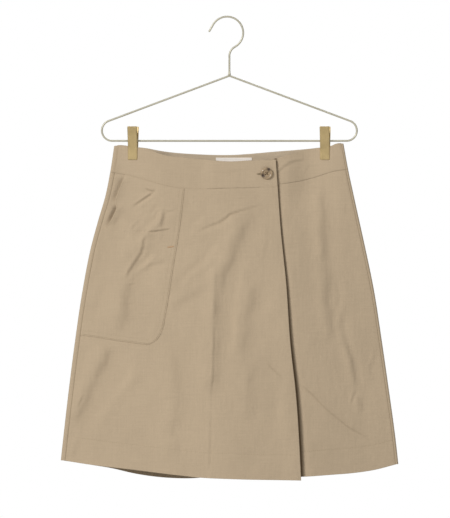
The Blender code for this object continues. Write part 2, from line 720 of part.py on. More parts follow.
# ---- trim -------------------------------------------------------------------------------------
def add_button(group, horn, back_y, cutters):
    """A dished four-hole button whose back lies back_y in front of the hanger's plane."""
    dish = BUTTON_HEIGHT - BUTTON_DISH_DEPTH
    profile = ((0.0, dish), (BUTTON_DISH_RADIUS, dish), (BUTTON_RIM_INNER, BUTTON_HEIGHT),
               (BUTTON_RIM_OUTER, BUTTON_HEIGHT), (BUTTON_RADIUS, BUTTON_EDGE_HEIGHT),
               (BUTTON_BASE_RADIUS, 0.0), (0.0, 0.0))
    mesh = bpy.data.meshes.new("button")
    mesh.from_pydata([(r * MM, 0.0, h * MM) for r, h in profile],
                     [(k, k + 1) for k in range(len(profile) - 1)], [])
    button = place("button", mesh, group, horn)
    turned = button.modifiers.new("Turned", "SCREW")
    turned.axis = "Z"
    turned.steps = turned.render_steps = BUTTON_STEPS
    turned.use_merge_vertices = True
    turned.merge_threshold = 0.01 * MM
    turned.use_smooth_shade = True
    button.rotation_euler = (math.radians(90), 0.0, 0.0)
    button.location = (BUTTON_X * MM, -back_y * MM, -BUTTON_DROP * MM)
    reach = BUTTON_HOLE_PITCH / math.sqrt(2)
    for k in range(4):
        turn = math.radians(45 + 90 * k)
        hole = cylinder(f"button_hole_{k}", BUTTON_HOLE_RADIUS, CUTTER_DEPTH, cutters, None, segments=6)
        hole.rotation_euler = (math.radians(90), 0.0, 0.0)
        hole.location = ((BUTTON_X + reach * math.cos(turn)) * MM, -back_y * MM,
                         (-BUTTON_DROP + reach * math.sin(turn)) * MM)
        boolean(button, hole, "DIFFERENCE")


def add_button_thread(group, thread, back_y):
    """The shank of thread from the button's back through the buttonhole to the lower band."""
    front = back_y - SEAM_GAP
    behind = -float(face_y("front", BUTTON_X, BUTTON_DROP, 0.0)) + THREAD_END_GAP
    stem = cylinder("button_thread", THREAD_RADIUS, front - behind, group, thread, segments=12)
    stem.rotation_euler = (math.radians(90), 0.0, 0.0)
    stem.location = (BUTTON_X * MM, -(front + behind) / 2 * MM, -BUTTON_DROP * MM)


def cylinder(name, radius, length, group, finish, segments=16):
    """A cylinder along its own Z, with its middle at the origin."""
    work = bmesh.new()
    bmesh.ops.create_cone(work, cap_ends=True, segments=segments, radius1=radius * MM,
                          radius2=radius * MM, depth=length * MM)
    mesh = bpy.data.meshes.new(name)
    work.to_mesh(mesh)
    work.free()
    return place(name, mesh, group, finish)


def add_label(group, finish):
    """A blank strip on the inner face of the back band."""
    inset = BAND_WALL + SEAM_GAP + LABEL_WALL / 2
    columns = [lambda drop, x=x: x for x in np.linspace(*LABEL_X, 5)]
    rows = [lambda x, d=d: d for d in np.linspace(*LABEL_DROP, 3)]
    points = grid(columns, rows, lambda x, drop: face_y("back", x, drop, inset))
    wall_object("label", points, LABEL_WALL, group, finish)


# ---- hanger -----------------------------------------------------------------------------------
def wire(name, points, closed, group, finish):
    """A round wire through points of the hanger's plane, (x, drop)."""
    data = bpy.data.curves.new(name, "CURVE")
    data.dimensions = "3D"
    data.bevel_depth = WIRE_RADIUS * MM
    data.bevel_resolution = 2
    data.use_fill_caps = True
    spline = data.splines.new("POLY")
    spline.points.add(len(points) - 1)
    for point, (x, drop) in zip(spline.points, points):
        point.co = (x * MM, 0.0, -drop * MM, 1.0)
    spline.use_cyclic_u = closed
    return place(name, data, group, finish)


def arc_points(centre, radius, start_deg, end_deg, count):
    """Points of an arc in the hanger's plane; degrees run from +X towards +Z."""
    turns = np.radians(np.linspace(start_deg, end_deg, count + 1))
    return [(centre[0] + radius * math.cos(t), centre[1] - radius * math.sin(t)) for t in turns]


def hook_points():
    """From the open tip over the top, then the return bend into the straight stem."""
    inner = HOOK_RADIUS - WIRE_RADIUS
    centre_drop = math.sqrt(inner**2 - HOOK_SHIFT**2)
    across = HOOK_RETURN_RADIUS - HOOK_SHIFT
    down = math.sqrt((HOOK_RADIUS + HOOK_RETURN_RADIUS) ** 2 - across**2)
    meet_deg = -math.degrees(math.atan2(down, across))
    bow = arc_points((HOOK_SHIFT, centre_drop), HOOK_RADIUS, HOOK_BOW_DEG, meet_deg, 22)
    turn = math.radians(HOOK_BOW_DEG)
    tip = (bow[0][0] - HOOK_TIP_LENGTH * math.sin(turn), bow[0][1] - HOOK_TIP_LENGTH * math.cos(turn))
    bend = arc_points((HOOK_RETURN_RADIUS, centre_drop + down), HOOK_RETURN_RADIUS,
                      180.0 + meet_deg, 180.0, 5)
    stem_end = APEX_DROP - apex_rise() - WIRE_RADIUS - SEAM_GAP
    return [tip] + bow + bend[1:] + [(0.0, stem_end)]


def apex_rise():
    """How far the rounded apex stays below the point where the shoulders would meet."""
    slope = math.atan(SHOULDER_SLOPE)
    return -(APEX_RADIUS / math.cos(slope) - APEX_RADIUS)


def frame_points():
    """The closed wire: rounded apex, shoulders, round ends and the straight bar."""
    slope = math.atan(SHOULDER_SLOPE)
    rise = HANGER_BAR_DROP - APEX_DROP
    radius = (rise * math.cos(slope) - HANGER_HALF_WIDTH * math.sin(slope)) / (
        1 + math.cos(slope) - math.sin(slope))
    end_centre = HANGER_HALF_WIDTH - radius
    slope_deg = math.degrees(slope)
    apex_centre = APEX_DROP + APEX_RADIUS / math.cos(slope)
    points = arc_points((0.0, apex_centre), APEX_RADIUS, 90 - slope_deg, 90 + slope_deg, 4)
    points += arc_points((-end_centre, HANGER_BAR_DROP - radius), radius, 90 + slope_deg, 270, 10)
    points += [(x, HANGER_BAR_DROP) for x in np.linspace(-end_centre, end_centre, 9)[1:-1]]
    points += arc_points((end_centre, HANGER_BAR_DROP - radius), radius, -90, 90 - slope_deg, 10)
    return points


def plate_y(jaw, height):
    """Depth of a clip plate's middle face at a height over the wire."""
    return float(np.interp(height, (CLIP_JAW_TOP, CLIP_TOP), (jaw, CLIP_SPREAD)))


def clip_plate(name, side, clip, group, finish, cutters):
    """A bent plate with two ears round the wire; side -1 is the front one, +1 the back one."""
    jaw = PINCH_DEPTH + CLIP_JAW_GAP + CLIP_SHEET / 2
    profile = ((CLIP_SPREAD, CLIP_TOP), (jaw, CLIP_JAW_TOP), (jaw, CLIP_BOTTOM))
    half = CLIP_WIDTH / 2
    vertices = [(x, side * y, z) for y, z in profile for x in (-half, half)]
    mesh = mesh_from(name, vertices, [(0, 1, 3, 2), (2, 3, 5, 4)])
    plate = place(name, mesh, group, finish)
    solidify(plate, CLIP_SHEET)
    soften = plate.modifiers.new("Edges", "BEVEL")
    soften.width = CLIP_EDGE * MM
    soften.segments = 1
    soften.limit_method = "ANGLE"
    plate.location = (clip.x * MM, 0.0, -HANGER_BAR_DROP * MM)
    plate.rotation_euler = (0.0, 0.0, math.radians(clip.turn_deg))

    ear_x = half - EAR_WALL / 2 - EAR_INSET
    if side > 0:
        ear_x -= EAR_WALL + SEAM_GAP
    top_root, root = (plate_y(jaw, height) for height in (EAR_TOP, EAR_BOTTOM))
    outline = ((top_root, EAR_TOP), (root, EAR_BOTTOM), (-EAR_TIP, -EAR_PAST_WIRE),
               (-EAR_PAST_WIRE, 0.0), (-EAR_TIP, EAR_PAST_WIRE))
    for word, x in (("a", -ear_x), ("b", ear_x)):
        vertices = [(x, side * y, z) for y, z in outline]
        ear = place(f"{name}_ear_{word}", mesh_from(name, vertices, [tuple(range(5))]), cutters, None)
        solidify(ear, EAR_WALL)
        ear.location, ear.rotation_euler = plate.location, plate.rotation_euler
        boolean(plate, ear, "UNION")
    bore = cylinder(f"{name}_bore", WIRE_RADIUS + EAR_BORE_GAP, CLIP_WIDTH + 2 * BORE_OVERSHOOT,
                    cutters, None)
    bore.rotation_euler = (0.0, math.radians(90), 0.0)
    bore.location = plate.location
    boolean(plate, bore, "DIFFERENCE")
    return plate


def add_clips(group, brass, steel, cutters):
    """Both clips: two plates each, and the spring sleeve on the wire between their ears."""
    for clip in CLIPS:
        clip_plate(f"clip_{clip.name}_front", -1, clip, group, brass, cutters)
        clip_plate(f"clip_{clip.name}_back", 1, clip, group, brass, cutters)
        name = f"clip_{clip.name}_spring"
        sleeve = cylinder(name, SPRING_RADIUS, SPRING_LENGTH, group, steel)
        bore = cylinder(f"{name}_bore", WIRE_RADIUS + SPRING_BORE_GAP,
                        SPRING_LENGTH + 2 * BORE_OVERSHOOT, cutters, None)
        for obj in (sleeve, bore):
            obj.rotation_euler = (0.0, math.radians(90), 0.0)
            obj.location = (clip.x * MM, 0.0, -HANGER_BAR_DROP * MM)
        boolean(sleeve, bore, "DIFFERENCE")


def add_hanger(group, plated, brass, steel, cutters):
    """Hook, frame and clips."""
    wire("hanger_hook", hook_points(), False, group, plated)
    wire("hanger_frame", frame_points(), True, group, plated)
    add_clips(group, brass, steel, cutters)


def main():
    """Builds the skort and its hanger."""
    clear_scene()
    group = collection("wrap_skort_on_hanger")
    cutters = collection("cutters", hidden=True)
    cloth = material("beige_twill", (0.46, 0.37, 0.26), 0.9)
    lining = material("shorts_cloth", (0.44, 0.36, 0.26), 0.85)
    label = material("label_white", (0.8, 0.8, 0.78), 0.8)
    horn = material("horn_button", (0.36, 0.26, 0.16), 0.35)
    thread = material("thread", (0.4, 0.32, 0.22), 0.9)
    plated = material("hanger_wire", (0.56, 0.5, 0.4), 0.35, 1.0)
    brass = material("brass_sheet", (0.62, 0.46, 0.24), 0.35, 1.0)
    steel = material("spring_steel", (0.45, 0.42, 0.38), 0.35, 1.0)

    add_skirt(group, cloth)
    add_waistband(group, cloth, cutters)
    add_shorts(group, lining)
    add_label(group, label)
    button_back = band_face(BUTTON_X, BUTTON_DROP) + THREAD_SHANK
    add_button(group, horn, button_back, cutters)
    add_button_thread(group, thread, button_back)
    add_hanger(group, plated, brass, steel, cutters)


if __name__ == "__main__":
    main()
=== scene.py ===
"""Wrap skort on a wire clip hanger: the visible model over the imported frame.

Every table and size is in millimetres, in the frame's axes: +X to the right, the front faces -Y,
+Z up. The origin is the inner top of the hanger's hook, and `drop` is the distance below it, so
z is minus drop. Meshes are made in metres. Left and right are as seen from the front.

The cloth is a set of sheets on one flattened tube. A sheet is a grid whose rows and columns run
between four edge lines, with turned hems and tucked seams carried round as further rows.
"""
import logging
import math
from dataclasses import dataclass
from enum import Enum
from typing import Callable, Sequence

import bmesh
import bpy
import numpy as np
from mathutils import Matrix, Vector


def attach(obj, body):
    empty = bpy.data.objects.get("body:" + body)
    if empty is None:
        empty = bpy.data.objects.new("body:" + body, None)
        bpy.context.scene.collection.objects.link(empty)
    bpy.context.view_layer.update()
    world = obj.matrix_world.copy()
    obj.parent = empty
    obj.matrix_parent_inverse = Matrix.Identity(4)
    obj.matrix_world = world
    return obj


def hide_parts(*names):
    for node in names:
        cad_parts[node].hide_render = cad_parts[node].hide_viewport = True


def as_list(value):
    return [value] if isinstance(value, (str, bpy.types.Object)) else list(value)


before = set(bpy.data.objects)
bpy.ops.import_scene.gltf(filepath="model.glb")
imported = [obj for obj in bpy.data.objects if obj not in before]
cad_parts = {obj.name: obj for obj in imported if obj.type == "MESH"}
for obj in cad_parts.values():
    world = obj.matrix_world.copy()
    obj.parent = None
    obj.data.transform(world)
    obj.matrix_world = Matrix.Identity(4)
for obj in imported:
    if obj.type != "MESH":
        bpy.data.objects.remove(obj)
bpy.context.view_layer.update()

log = logging.getLogger("skort")

MM = 0.001
BODY = "root"
Array = np.ndarray
Line = Callable[[Array], Array]
NOISE_TABLE = (97, 89)                  # rows and columns of a lattice's random values
NOISE_START = 1000.0                    # lattice squares that keep every index above zero


# ---- curves, easing and noise -------------------------------------------------------------------
def curve_through(xs: Sequence[float], ys: Sequence[float], x: Array) -> Array:
    """A smooth curve through points: cubic Hermite pieces with slopes taken from the neighbours.

    Args:
        xs: Places of the points, rising.
        ys: Values at those places.
        x: Where the curve is read.

    Returns:
        The curve's values at x, held level past both ends.
    """
    places, values = np.asarray(xs, float), np.asarray(ys, float)
    at = np.clip(np.asarray(x, float), places[0], places[-1])
    slopes = np.gradient(values, places)
    i = np.clip(np.searchsorted(places, at) - 1, 0, len(places) - 2)
    step = places[i + 1] - places[i]
    t = (at - places[i]) / step
    return ((2 * t**3 - 3 * t**2 + 1) * values[i] + (t**3 - 2 * t**2 + t) * step * slopes[i]
            + (3 * t**2 - 2 * t**3) * values[i + 1] + (t**3 - t**2) * step * slopes[i + 1])


def ease(start: float, end: float, value: Array) -> Array:
    """Zero up to start and one from end on, with 3t^2 - 2t^3 between them."""
    t = np.clip((np.asarray(value, float) - start) / (end - start), 0.0, 1.0)
    return t * t * (3.0 - 2.0 * t)


def bell(distance: Array, reach: float) -> Array:
    """exp(-(distance / reach)^2), one at the middle and near zero two reaches away."""
    return np.exp(-((distance / reach) ** 2))


def lattice_noise(x: Array, y: Array, cell: float, seed: int) -> Array:
    """Smooth noise: random values on a square lattice, eased between its corners.

    Args:
        x: First coordinate.
        y: Second coordinate, of the same shape.
        cell: Side of a lattice square, in the coordinates' unit.
        seed: Picks the lattice.

    Returns:
        Values from -1 to 1.
    """
    rows, columns = NOISE_TABLE
    table = np.random.default_rng(seed).uniform(-1.0, 1.0, NOISE_TABLE)
    u, v = x / cell + NOISE_START, y / cell + NOISE_START
    i, j = np.floor(u).astype(int), np.floor(v).astype(int)
    fu, fv = u - i, v - j
    su, sv = fu * fu * (3 - 2 * fu), fv * fv * (3 - 2 * fv)
    corner = [table[(i + a) % rows, (j + b) % columns]
              for a, b in ((0, 0), (1, 0), (0, 1), (1, 1))]
    near = corner[0] * (1 - su) + corner[1] * su
    far = corner[2] * (1 - su) + corner[3] * su
    return near * (1 - sv) + far * sv


@dataclass(frozen=True)
class Noise:
    """Smooth noise of one size: how far it goes to each side, its lattice's cell and its seed."""

    amount: float
    cell: float
    seed: int

    def at(self, x: Array, y: Array) -> Array:
        """Its values at each place."""
        return self.amount * lattice_noise(x, y, self.cell, self.seed)


def across_line(*points: tuple[float, float]) -> Line:
    """A line that runs across the garment, through (x, drop) points: drop as a function of x."""
    xs, drops = zip(*points)
    return lambda x: curve_through(xs, drops, x)


def down_line(*points: tuple[float, float]) -> Line:
    """A line that runs down the garment, through (drop, x) points: x as a function of drop."""
    drops, xs = zip(*points)
    return lambda drop: curve_through(drops, xs, drop)


# ---- edges of the cut ---------------------------------------------------------------------------
WAIST_EDGE_FRONT = across_line(
    (-178.0, 199.6), (-174.0, 198.0), (-166.0, 197.7), (-157.0, 199.3), (-149.0, 200.3),
    (-125.0, 204.0), (-106.0, 211.5), (-72.0, 216.5), (-38.0, 220.1), (0.0, 223.2), (34.0, 221.4),
    (75.0, 220.5))
WAIST_EDGE_UNDER = across_line(
    (-30.0, 224.0), (40.0, 222.5), (76.0, 217.0), (95.0, 211.0), (114.0, 206.0), (149.0, 200.3),
    (158.0, 198.6), (166.0, 195.4), (173.0, 194.9), (178.0, 197.6))
WAIST_EDGE_BACK = across_line(
    (-178.0, 199.6), (-174.0, 198.0), (-166.0, 197.7), (-149.0, 200.3), (-131.0, 202.1),
    (-107.0, 206.5), (-46.0, 211.8), (0.0, 212.7), (70.0, 207.6), (134.0, 202.1), (149.0, 200.3),
    (158.0, 198.6), (166.0, 195.4), (173.0, 194.9), (178.0, 197.6))
WAIST_SEAM_OVER = across_line(
    (-183.0, 239.2), (-158.7, 243.5), (-131.3, 250.8), (-106.0, 258.2), (-78.3, 264.0),
    (-50.7, 265.2), (0.0, 264.0), (75.0, 262.5))
WAIST_SEAM_UNDER = across_line(
    (-30.0, 264.0), (40.0, 261.5), (78.6, 257.6), (104.0, 254.0), (133.8, 246.6), (161.2, 238.1),
    (183.0, 234.5))
WAIST_SEAM_BACK = across_line(
    (-183.0, 239.2), (-120.0, 247.0), (-46.0, 254.0), (0.0, 255.0), (70.0, 250.0), (134.0, 243.5),
    (183.0, 234.5))
POCKET_BOTTOM = across_line(
    (-237.0, 491.0), (-218.0, 493.4), (-160.9, 501.9), (-122.8, 506.5), (0.0, 508.0), (240.0, 500.0))
HEM_OVER = across_line(
    (-262.0, 684.6), (-222.3, 690.7), (-147.9, 699.1), (-82.8, 706.5), (-47.4, 710.2), (0.9, 712.4),
    (110.0, 714.9))
HEM_UNDER = across_line(
    (-32.0, 707.0), (60.0, 710.5), (111.6, 709.6), (157.5, 706.8), (189.0, 704.6), (224.4, 699.8),
    (262.0, 690.4))
HEM_BACK = across_line(
    (-262.0, 684.6), (-222.0, 691.5), (-181.4, 698.5), (-147.9, 706.5), (-120.0, 711.2),
    (-92.1, 714.0), (-64.2, 714.8), (-30.0, 713.0), (60.0, 711.5), (157.5, 704.8), (224.4, 698.2),
    (262.0, 690.4))
WRAP_EDGE = down_line(
    (215.0, 71.0), (259.3, 73.9), (327.0, 78.6), (411.8, 87.1), (505.0, 93.5), (583.1, 102.0),
    (669.1, 107.7), (716.0, 110.0))
UNDER_EDGE = down_line((215.0, -17.0), (369.2, -21.1), (716.0, -31.0))
POCKET_OPENING = down_line(
    (245.0, -162.5), (260.0, -168.5), (275.0, -174.5), (286.0, -177.5), (294.0, -175.0),
    (306.0, -179.5), (318.0, -186.0), (330.0, -196.5))
POCKET_SEAM = down_line(
    (263.5, -69.4), (327.1, -77.2), (390.6, -87.7), (458.5, -98.6), (481.7, -103.5), (493.0, -108.5),
    (500.0, -114.5), (504.0, -121.0), (507.0, -129.0))

BUTTON_AT = (57.9, 241.5)               # (x, drop) of its middle
SLOT_MIDDLE = (-6.5, 1.1)               # (x, drop) of the buttonhole's, from the button's
SLOT_HALF = 8.7


# ---- the flattened tube -------------------------------------------------------------------------
@dataclass(frozen=True)
class Section:
    """The tube's outer face at one height."""

    drop: float
    half_width: float
    shift: float
    front: float
    back: float
    end_radius: float


@dataclass(frozen=True)
class Grip:
    """Where a clip holds the waistband: its place and its turn about the vertical, in degrees."""

    x: float
    turn: float


class Face(Enum):
    """The tube's two faces; the value is the sign of y."""

    FRONT = -1
    BACK = 1


@dataclass(frozen=True)
class Tube:
    """The flattened tube that every layer of cloth lies on."""

    sections: tuple[Section, ...] = (
        Section(196.0, 177.6, -0.7, 10.0, 11.0, 3.0), Section(239.0, 184.8, 0.0, 12.0, 12.5, 3.0),
        Section(276.0, 192.5, 0.3, 14.5, 14.5, 3.2), Section(313.0, 202.0, -1.0, 17.5, 16.5, 3.4),
        Section(351.0, 211.4, -2.0, 20.0, 18.0, 3.5), Section(425.0, 226.3, -1.7, 24.5, 21.5, 3.5),
        Section(499.0, 237.5, -1.5, 27.5, 24.5, 3.5), Section(574.0, 247.7, -0.9, 30.0, 27.0, 3.5),
        Section(648.0, 257.1, -0.1, 32.5, 29.0, 3.5), Section(716.0, 264.5, 0.0, 34.5, 30.5, 3.5))
    lens_power: float = 1.3
    grips: tuple[Grip, ...] = (Grip(-149.3, -10.0), Grip(148.4, -9.0))
    pinch_depth: float = 2.575
    pinch_run: tuple[float, float] = (11.0, 62.0)
    pinch_drops: tuple[float, float] = (225.0, 335.0)
    twist_run: tuple[float, float] = (9.0, 62.0)
    twist_drops: tuple[float, float] = (235.0, 335.0)
    left_seam_inset: float = 7.0
    right_seam_inset: float = 0.8

    def value(self, name: str, drop: Array) -> Array:
        """One column of the sections at a drop."""
        rows = self.sections
        return curve_through([r.drop for r in rows], [getattr(r, name) for r in rows], drop)

    def turn_x(self, side: int, drop: Array) -> Array:
        """Middle of the rounding of the left (-1) or right (+1) folded side."""
        half = self.value("half_width", drop) - self.value("end_radius", drop)
        return self.value("shift", drop) + side * half

    def left_seam(self, drop: Array) -> Array:
        """The left side seam, on the front face."""
        return self.value("shift", drop) - self.value("half_width", drop) + self.left_seam_inset

    def right_seam(self, drop: Array) -> Array:
        """The right side seam, where the front face ends."""
        return self.turn_x(1, drop) - self.right_seam_inset

    def half_depth(self, face: Face, x: Array, drop: Array) -> Array:
        """Half depth without folds: a lens, end + (middle - end) cos(across)^power, with the clips'
        pinches eased into it."""
        end = self.value("end_radius", drop)
        middle = self.value(face.name.lower(), drop)
        reach = self.value("half_width", drop) - end
        across = np.clip((x - self.value("shift", drop)) / reach, -1.0, 1.0)
        arch = np.maximum(np.cos(across * math.pi / 2), 0.0) ** self.lens_power
        pinch = 1 - ease(*self.pinch_run, np.abs(np.abs(x) - abs(self.grips[0].x)))
        pinch = pinch * (1 - ease(*self.pinch_drops, drop))
        return (end + (middle - end) * arch) * (1 - pinch) + self.pinch_depth * pinch

    def twist(self, x: Array, drop: Array) -> Array:
        """Y of the tube's middle: it follows each turned clip near its grip and is zero elsewhere."""
        total = np.zeros(np.broadcast(x, drop).shape)
        for grip in self.grips:
            off = x - grip.x
            near = 1 - ease(*self.twist_run, np.abs(off))
            total = total + math.tan(math.radians(grip.turn)) * off * near
        return total * (1 - ease(*self.twist_drops, drop))

    def y(self, face: Face, x: Array, drop: Array, out: Array) -> Array:
        """Y of a layer that lies `out` outside the tube's face."""
        return self.twist(x, drop) + face.value * (self.half_depth(face, x, drop) + out)


TUBE = Tube()


# ---- creases ------------------------------------------------------------------------------------
SHADE_WAY = (0.78, 0.63)                # (x, drop) along the front, away from the key light
CREASE_REACH = 3.2                      # widths from its line at which a crease has faded out
CREASE_WANDER = Noise(0.12, 22.0, 83)   # bends its line, in widths
CREASE_CHANGE = Noise(0.4, 28.0, 84)    # varies its strength
CREASE_STRENGTH = 1.1                   # the strength's middle
STEEP_WIDTH = 1.6                       # a crease of this width is twice as steep as a broad one


@dataclass(frozen=True)
class Crease:
    """A crease or a soft fold along a line of (x, drop) points.

    Across the line its height is -slope * off * bell(off, width), with `off` positive on the side
    away from the light. A positive slope so turns the line from the light and reads dark, and a
    negative one reads light. shade darkens the line of a crease too sharp for the mesh.
    """

    points: tuple[tuple[float, float], ...]
    slope: float
    width: float
    taper: float = 0.3
    shade: float = 0.0

    def near(self, x: Array, drop: Array) -> Array:
        """Places that the crease can reach."""
        low, high = np.min(self.points, axis=0), np.max(self.points, axis=0)
        reach = CREASE_REACH * self.width
        return ((x > low[0] - reach) & (x < high[0] + reach)
                & (drop > low[1] - reach) & (drop < high[1] + reach))

    def across(self, x: Array, drop: Array) -> tuple[Array, Array]:
        """Signed distance to the line, and a share that falls to zero at both its ends."""
        line = np.asarray(self.points, float)
        steps = np.linalg.norm(np.diff(line, axis=0), axis=1)
        whole = line[-1] - line[0]
        way = 1.0 if whole[1] * SHADE_WAY[0] > whole[0] * SHADE_WAY[1] else -1.0
        best, signed = np.full(x.shape, 1e9), np.zeros(x.shape)
        run_at, start = np.zeros(x.shape), 0.0
        for (px, pd), (qx, qd), length in zip(line[:-1], line[1:], steps):
            ax, ad = (qx - px) / length, (qd - pd) / length
            run = np.clip((x - px) * ax + (drop - pd) * ad, 0.0, length)
            dx, dd = x - px - run * ax, drop - pd - run * ad
            off = np.hypot(dx, dd)
            closer = off < best
            signed = np.where(closer, off * np.sign(dx * ad - dd * ax) * way, signed)
            run_at = np.where(closer, start + run, run_at)
            best = np.where(closer, off, best)
            start += length
        share = run_at / start
        return signed, ease(0.0, self.taper, share) * (1 - ease(1 - self.taper, 1.0, share))

    def height_at(self, x: Array, drop: Array) -> Array:
        """Outward height at each place. Noise bends the line and varies its strength, and a narrow
        crease is steeper by STEEP_WIDTH / width, for the cloth's thickness rounds it off."""
        off, share = self.across(x, drop)
        off = off + self.width * CREASE_WANDER.at(x, drop)
        strength = share * (CREASE_STRENGTH + CREASE_CHANGE.at(x, drop))
        steep = self.slope * (1 + STEEP_WIDTH / self.width)
        return -steep * off * bell(off, self.width) * strength

    def shade_at(self, x: Array, drop: Array) -> Array:
        """Darkness at each place."""
        off, share = self.across(x, drop)
        return self.shade * bell(off, self.width * 0.5) * share


@dataclass(frozen=True)
class Surface:
    """Fine height of one face: creases and the cloth's own unevenness."""

    face: Face
    creases: tuple[Crease, ...]
    crumple: tuple[tuple[float, float, float], ...] = (
        (46.0, 0.9, 1.5), (21.0, 0.48, 1.2), (9.0, 0.17, 1.4))
    seed: int = 5
    band_share: float = 0.35        # of the noise that is left on the waistband
    band_drops: tuple[float, float] = (235.0, 300.0)
    worn: float = 2.4               # how much rougher the cloth is under the hand opening
    worn_at: tuple[float, float] = (-140.0, 335.0)
    worn_reach: tuple[float, float] = (70.0, 75.0)
    least_depth: float = 2.9
    least_room: float = 0.05
    trough_room: float = 5.0
    ridge_room: float = 2.0

    def height_at(self, x: Array, drop: Array) -> Array:
        """Creases, plus noise at three sizes, given as (cell, height, how much longer along the drop
        than across)."""
        x, drop = np.broadcast_arrays(x, drop)
        rough = self.band_share + (1 - self.band_share) * ease(*self.band_drops, drop)
        rough = rough * (1 + self.worn * bell(x - self.worn_at[0], self.worn_reach[0])
                         * bell(drop - self.worn_at[1], self.worn_reach[1]))
        total = np.zeros(x.shape)
        for k, (cell, height, stretch) in enumerate(self.crumple):
            total += rough * height * lattice_noise(x, drop / stretch, cell, self.seed + k)
        for crease in self.creases:
            near = crease.near(x, drop)
            total[near] += crease.height_at(x[near], drop[near])
        return total

    def relief(self, x: Array, drop: Array) -> Array:
        """The height h with its troughs held off the cloth behind, h / (1 - h / room), and with its
        ridges flattened where a clip holds."""
        height = self.height_at(x, drop)
        spare = TUBE.half_depth(self.face, x, drop) - self.least_depth
        trough = np.minimum(height, 0.0)
        ridge = np.maximum(height, 0.0) * np.clip(spare / self.ridge_room, 0.0, 1.0)
        return ridge + trough / (1 - trough / np.clip(spare, self.least_room, self.trough_room))

    def shade_at(self, x: Array, drop: Array) -> Array:
        """Darkness of the sharpest creases."""
        total = np.zeros(x.shape)
        for crease in (c for c in self.creases if c.shade > 0):
            near = crease.near(x, drop)
            total[near] = np.maximum(total[near], crease.shade_at(x[near], drop[near]))
        return total

    def y(self, x: Array, drop: Array, out: Array) -> Array:
        """Y of a layer `out` outside the tube, with the fine height."""
        return TUBE.y(self.face, x, drop, out + self.relief(x, drop))

    def points(self, x: Array, drop: Array, out: Array) -> Array:
        """Points of that layer."""
        return np.stack([x, self.y(x, drop, out), -drop], axis=-1)


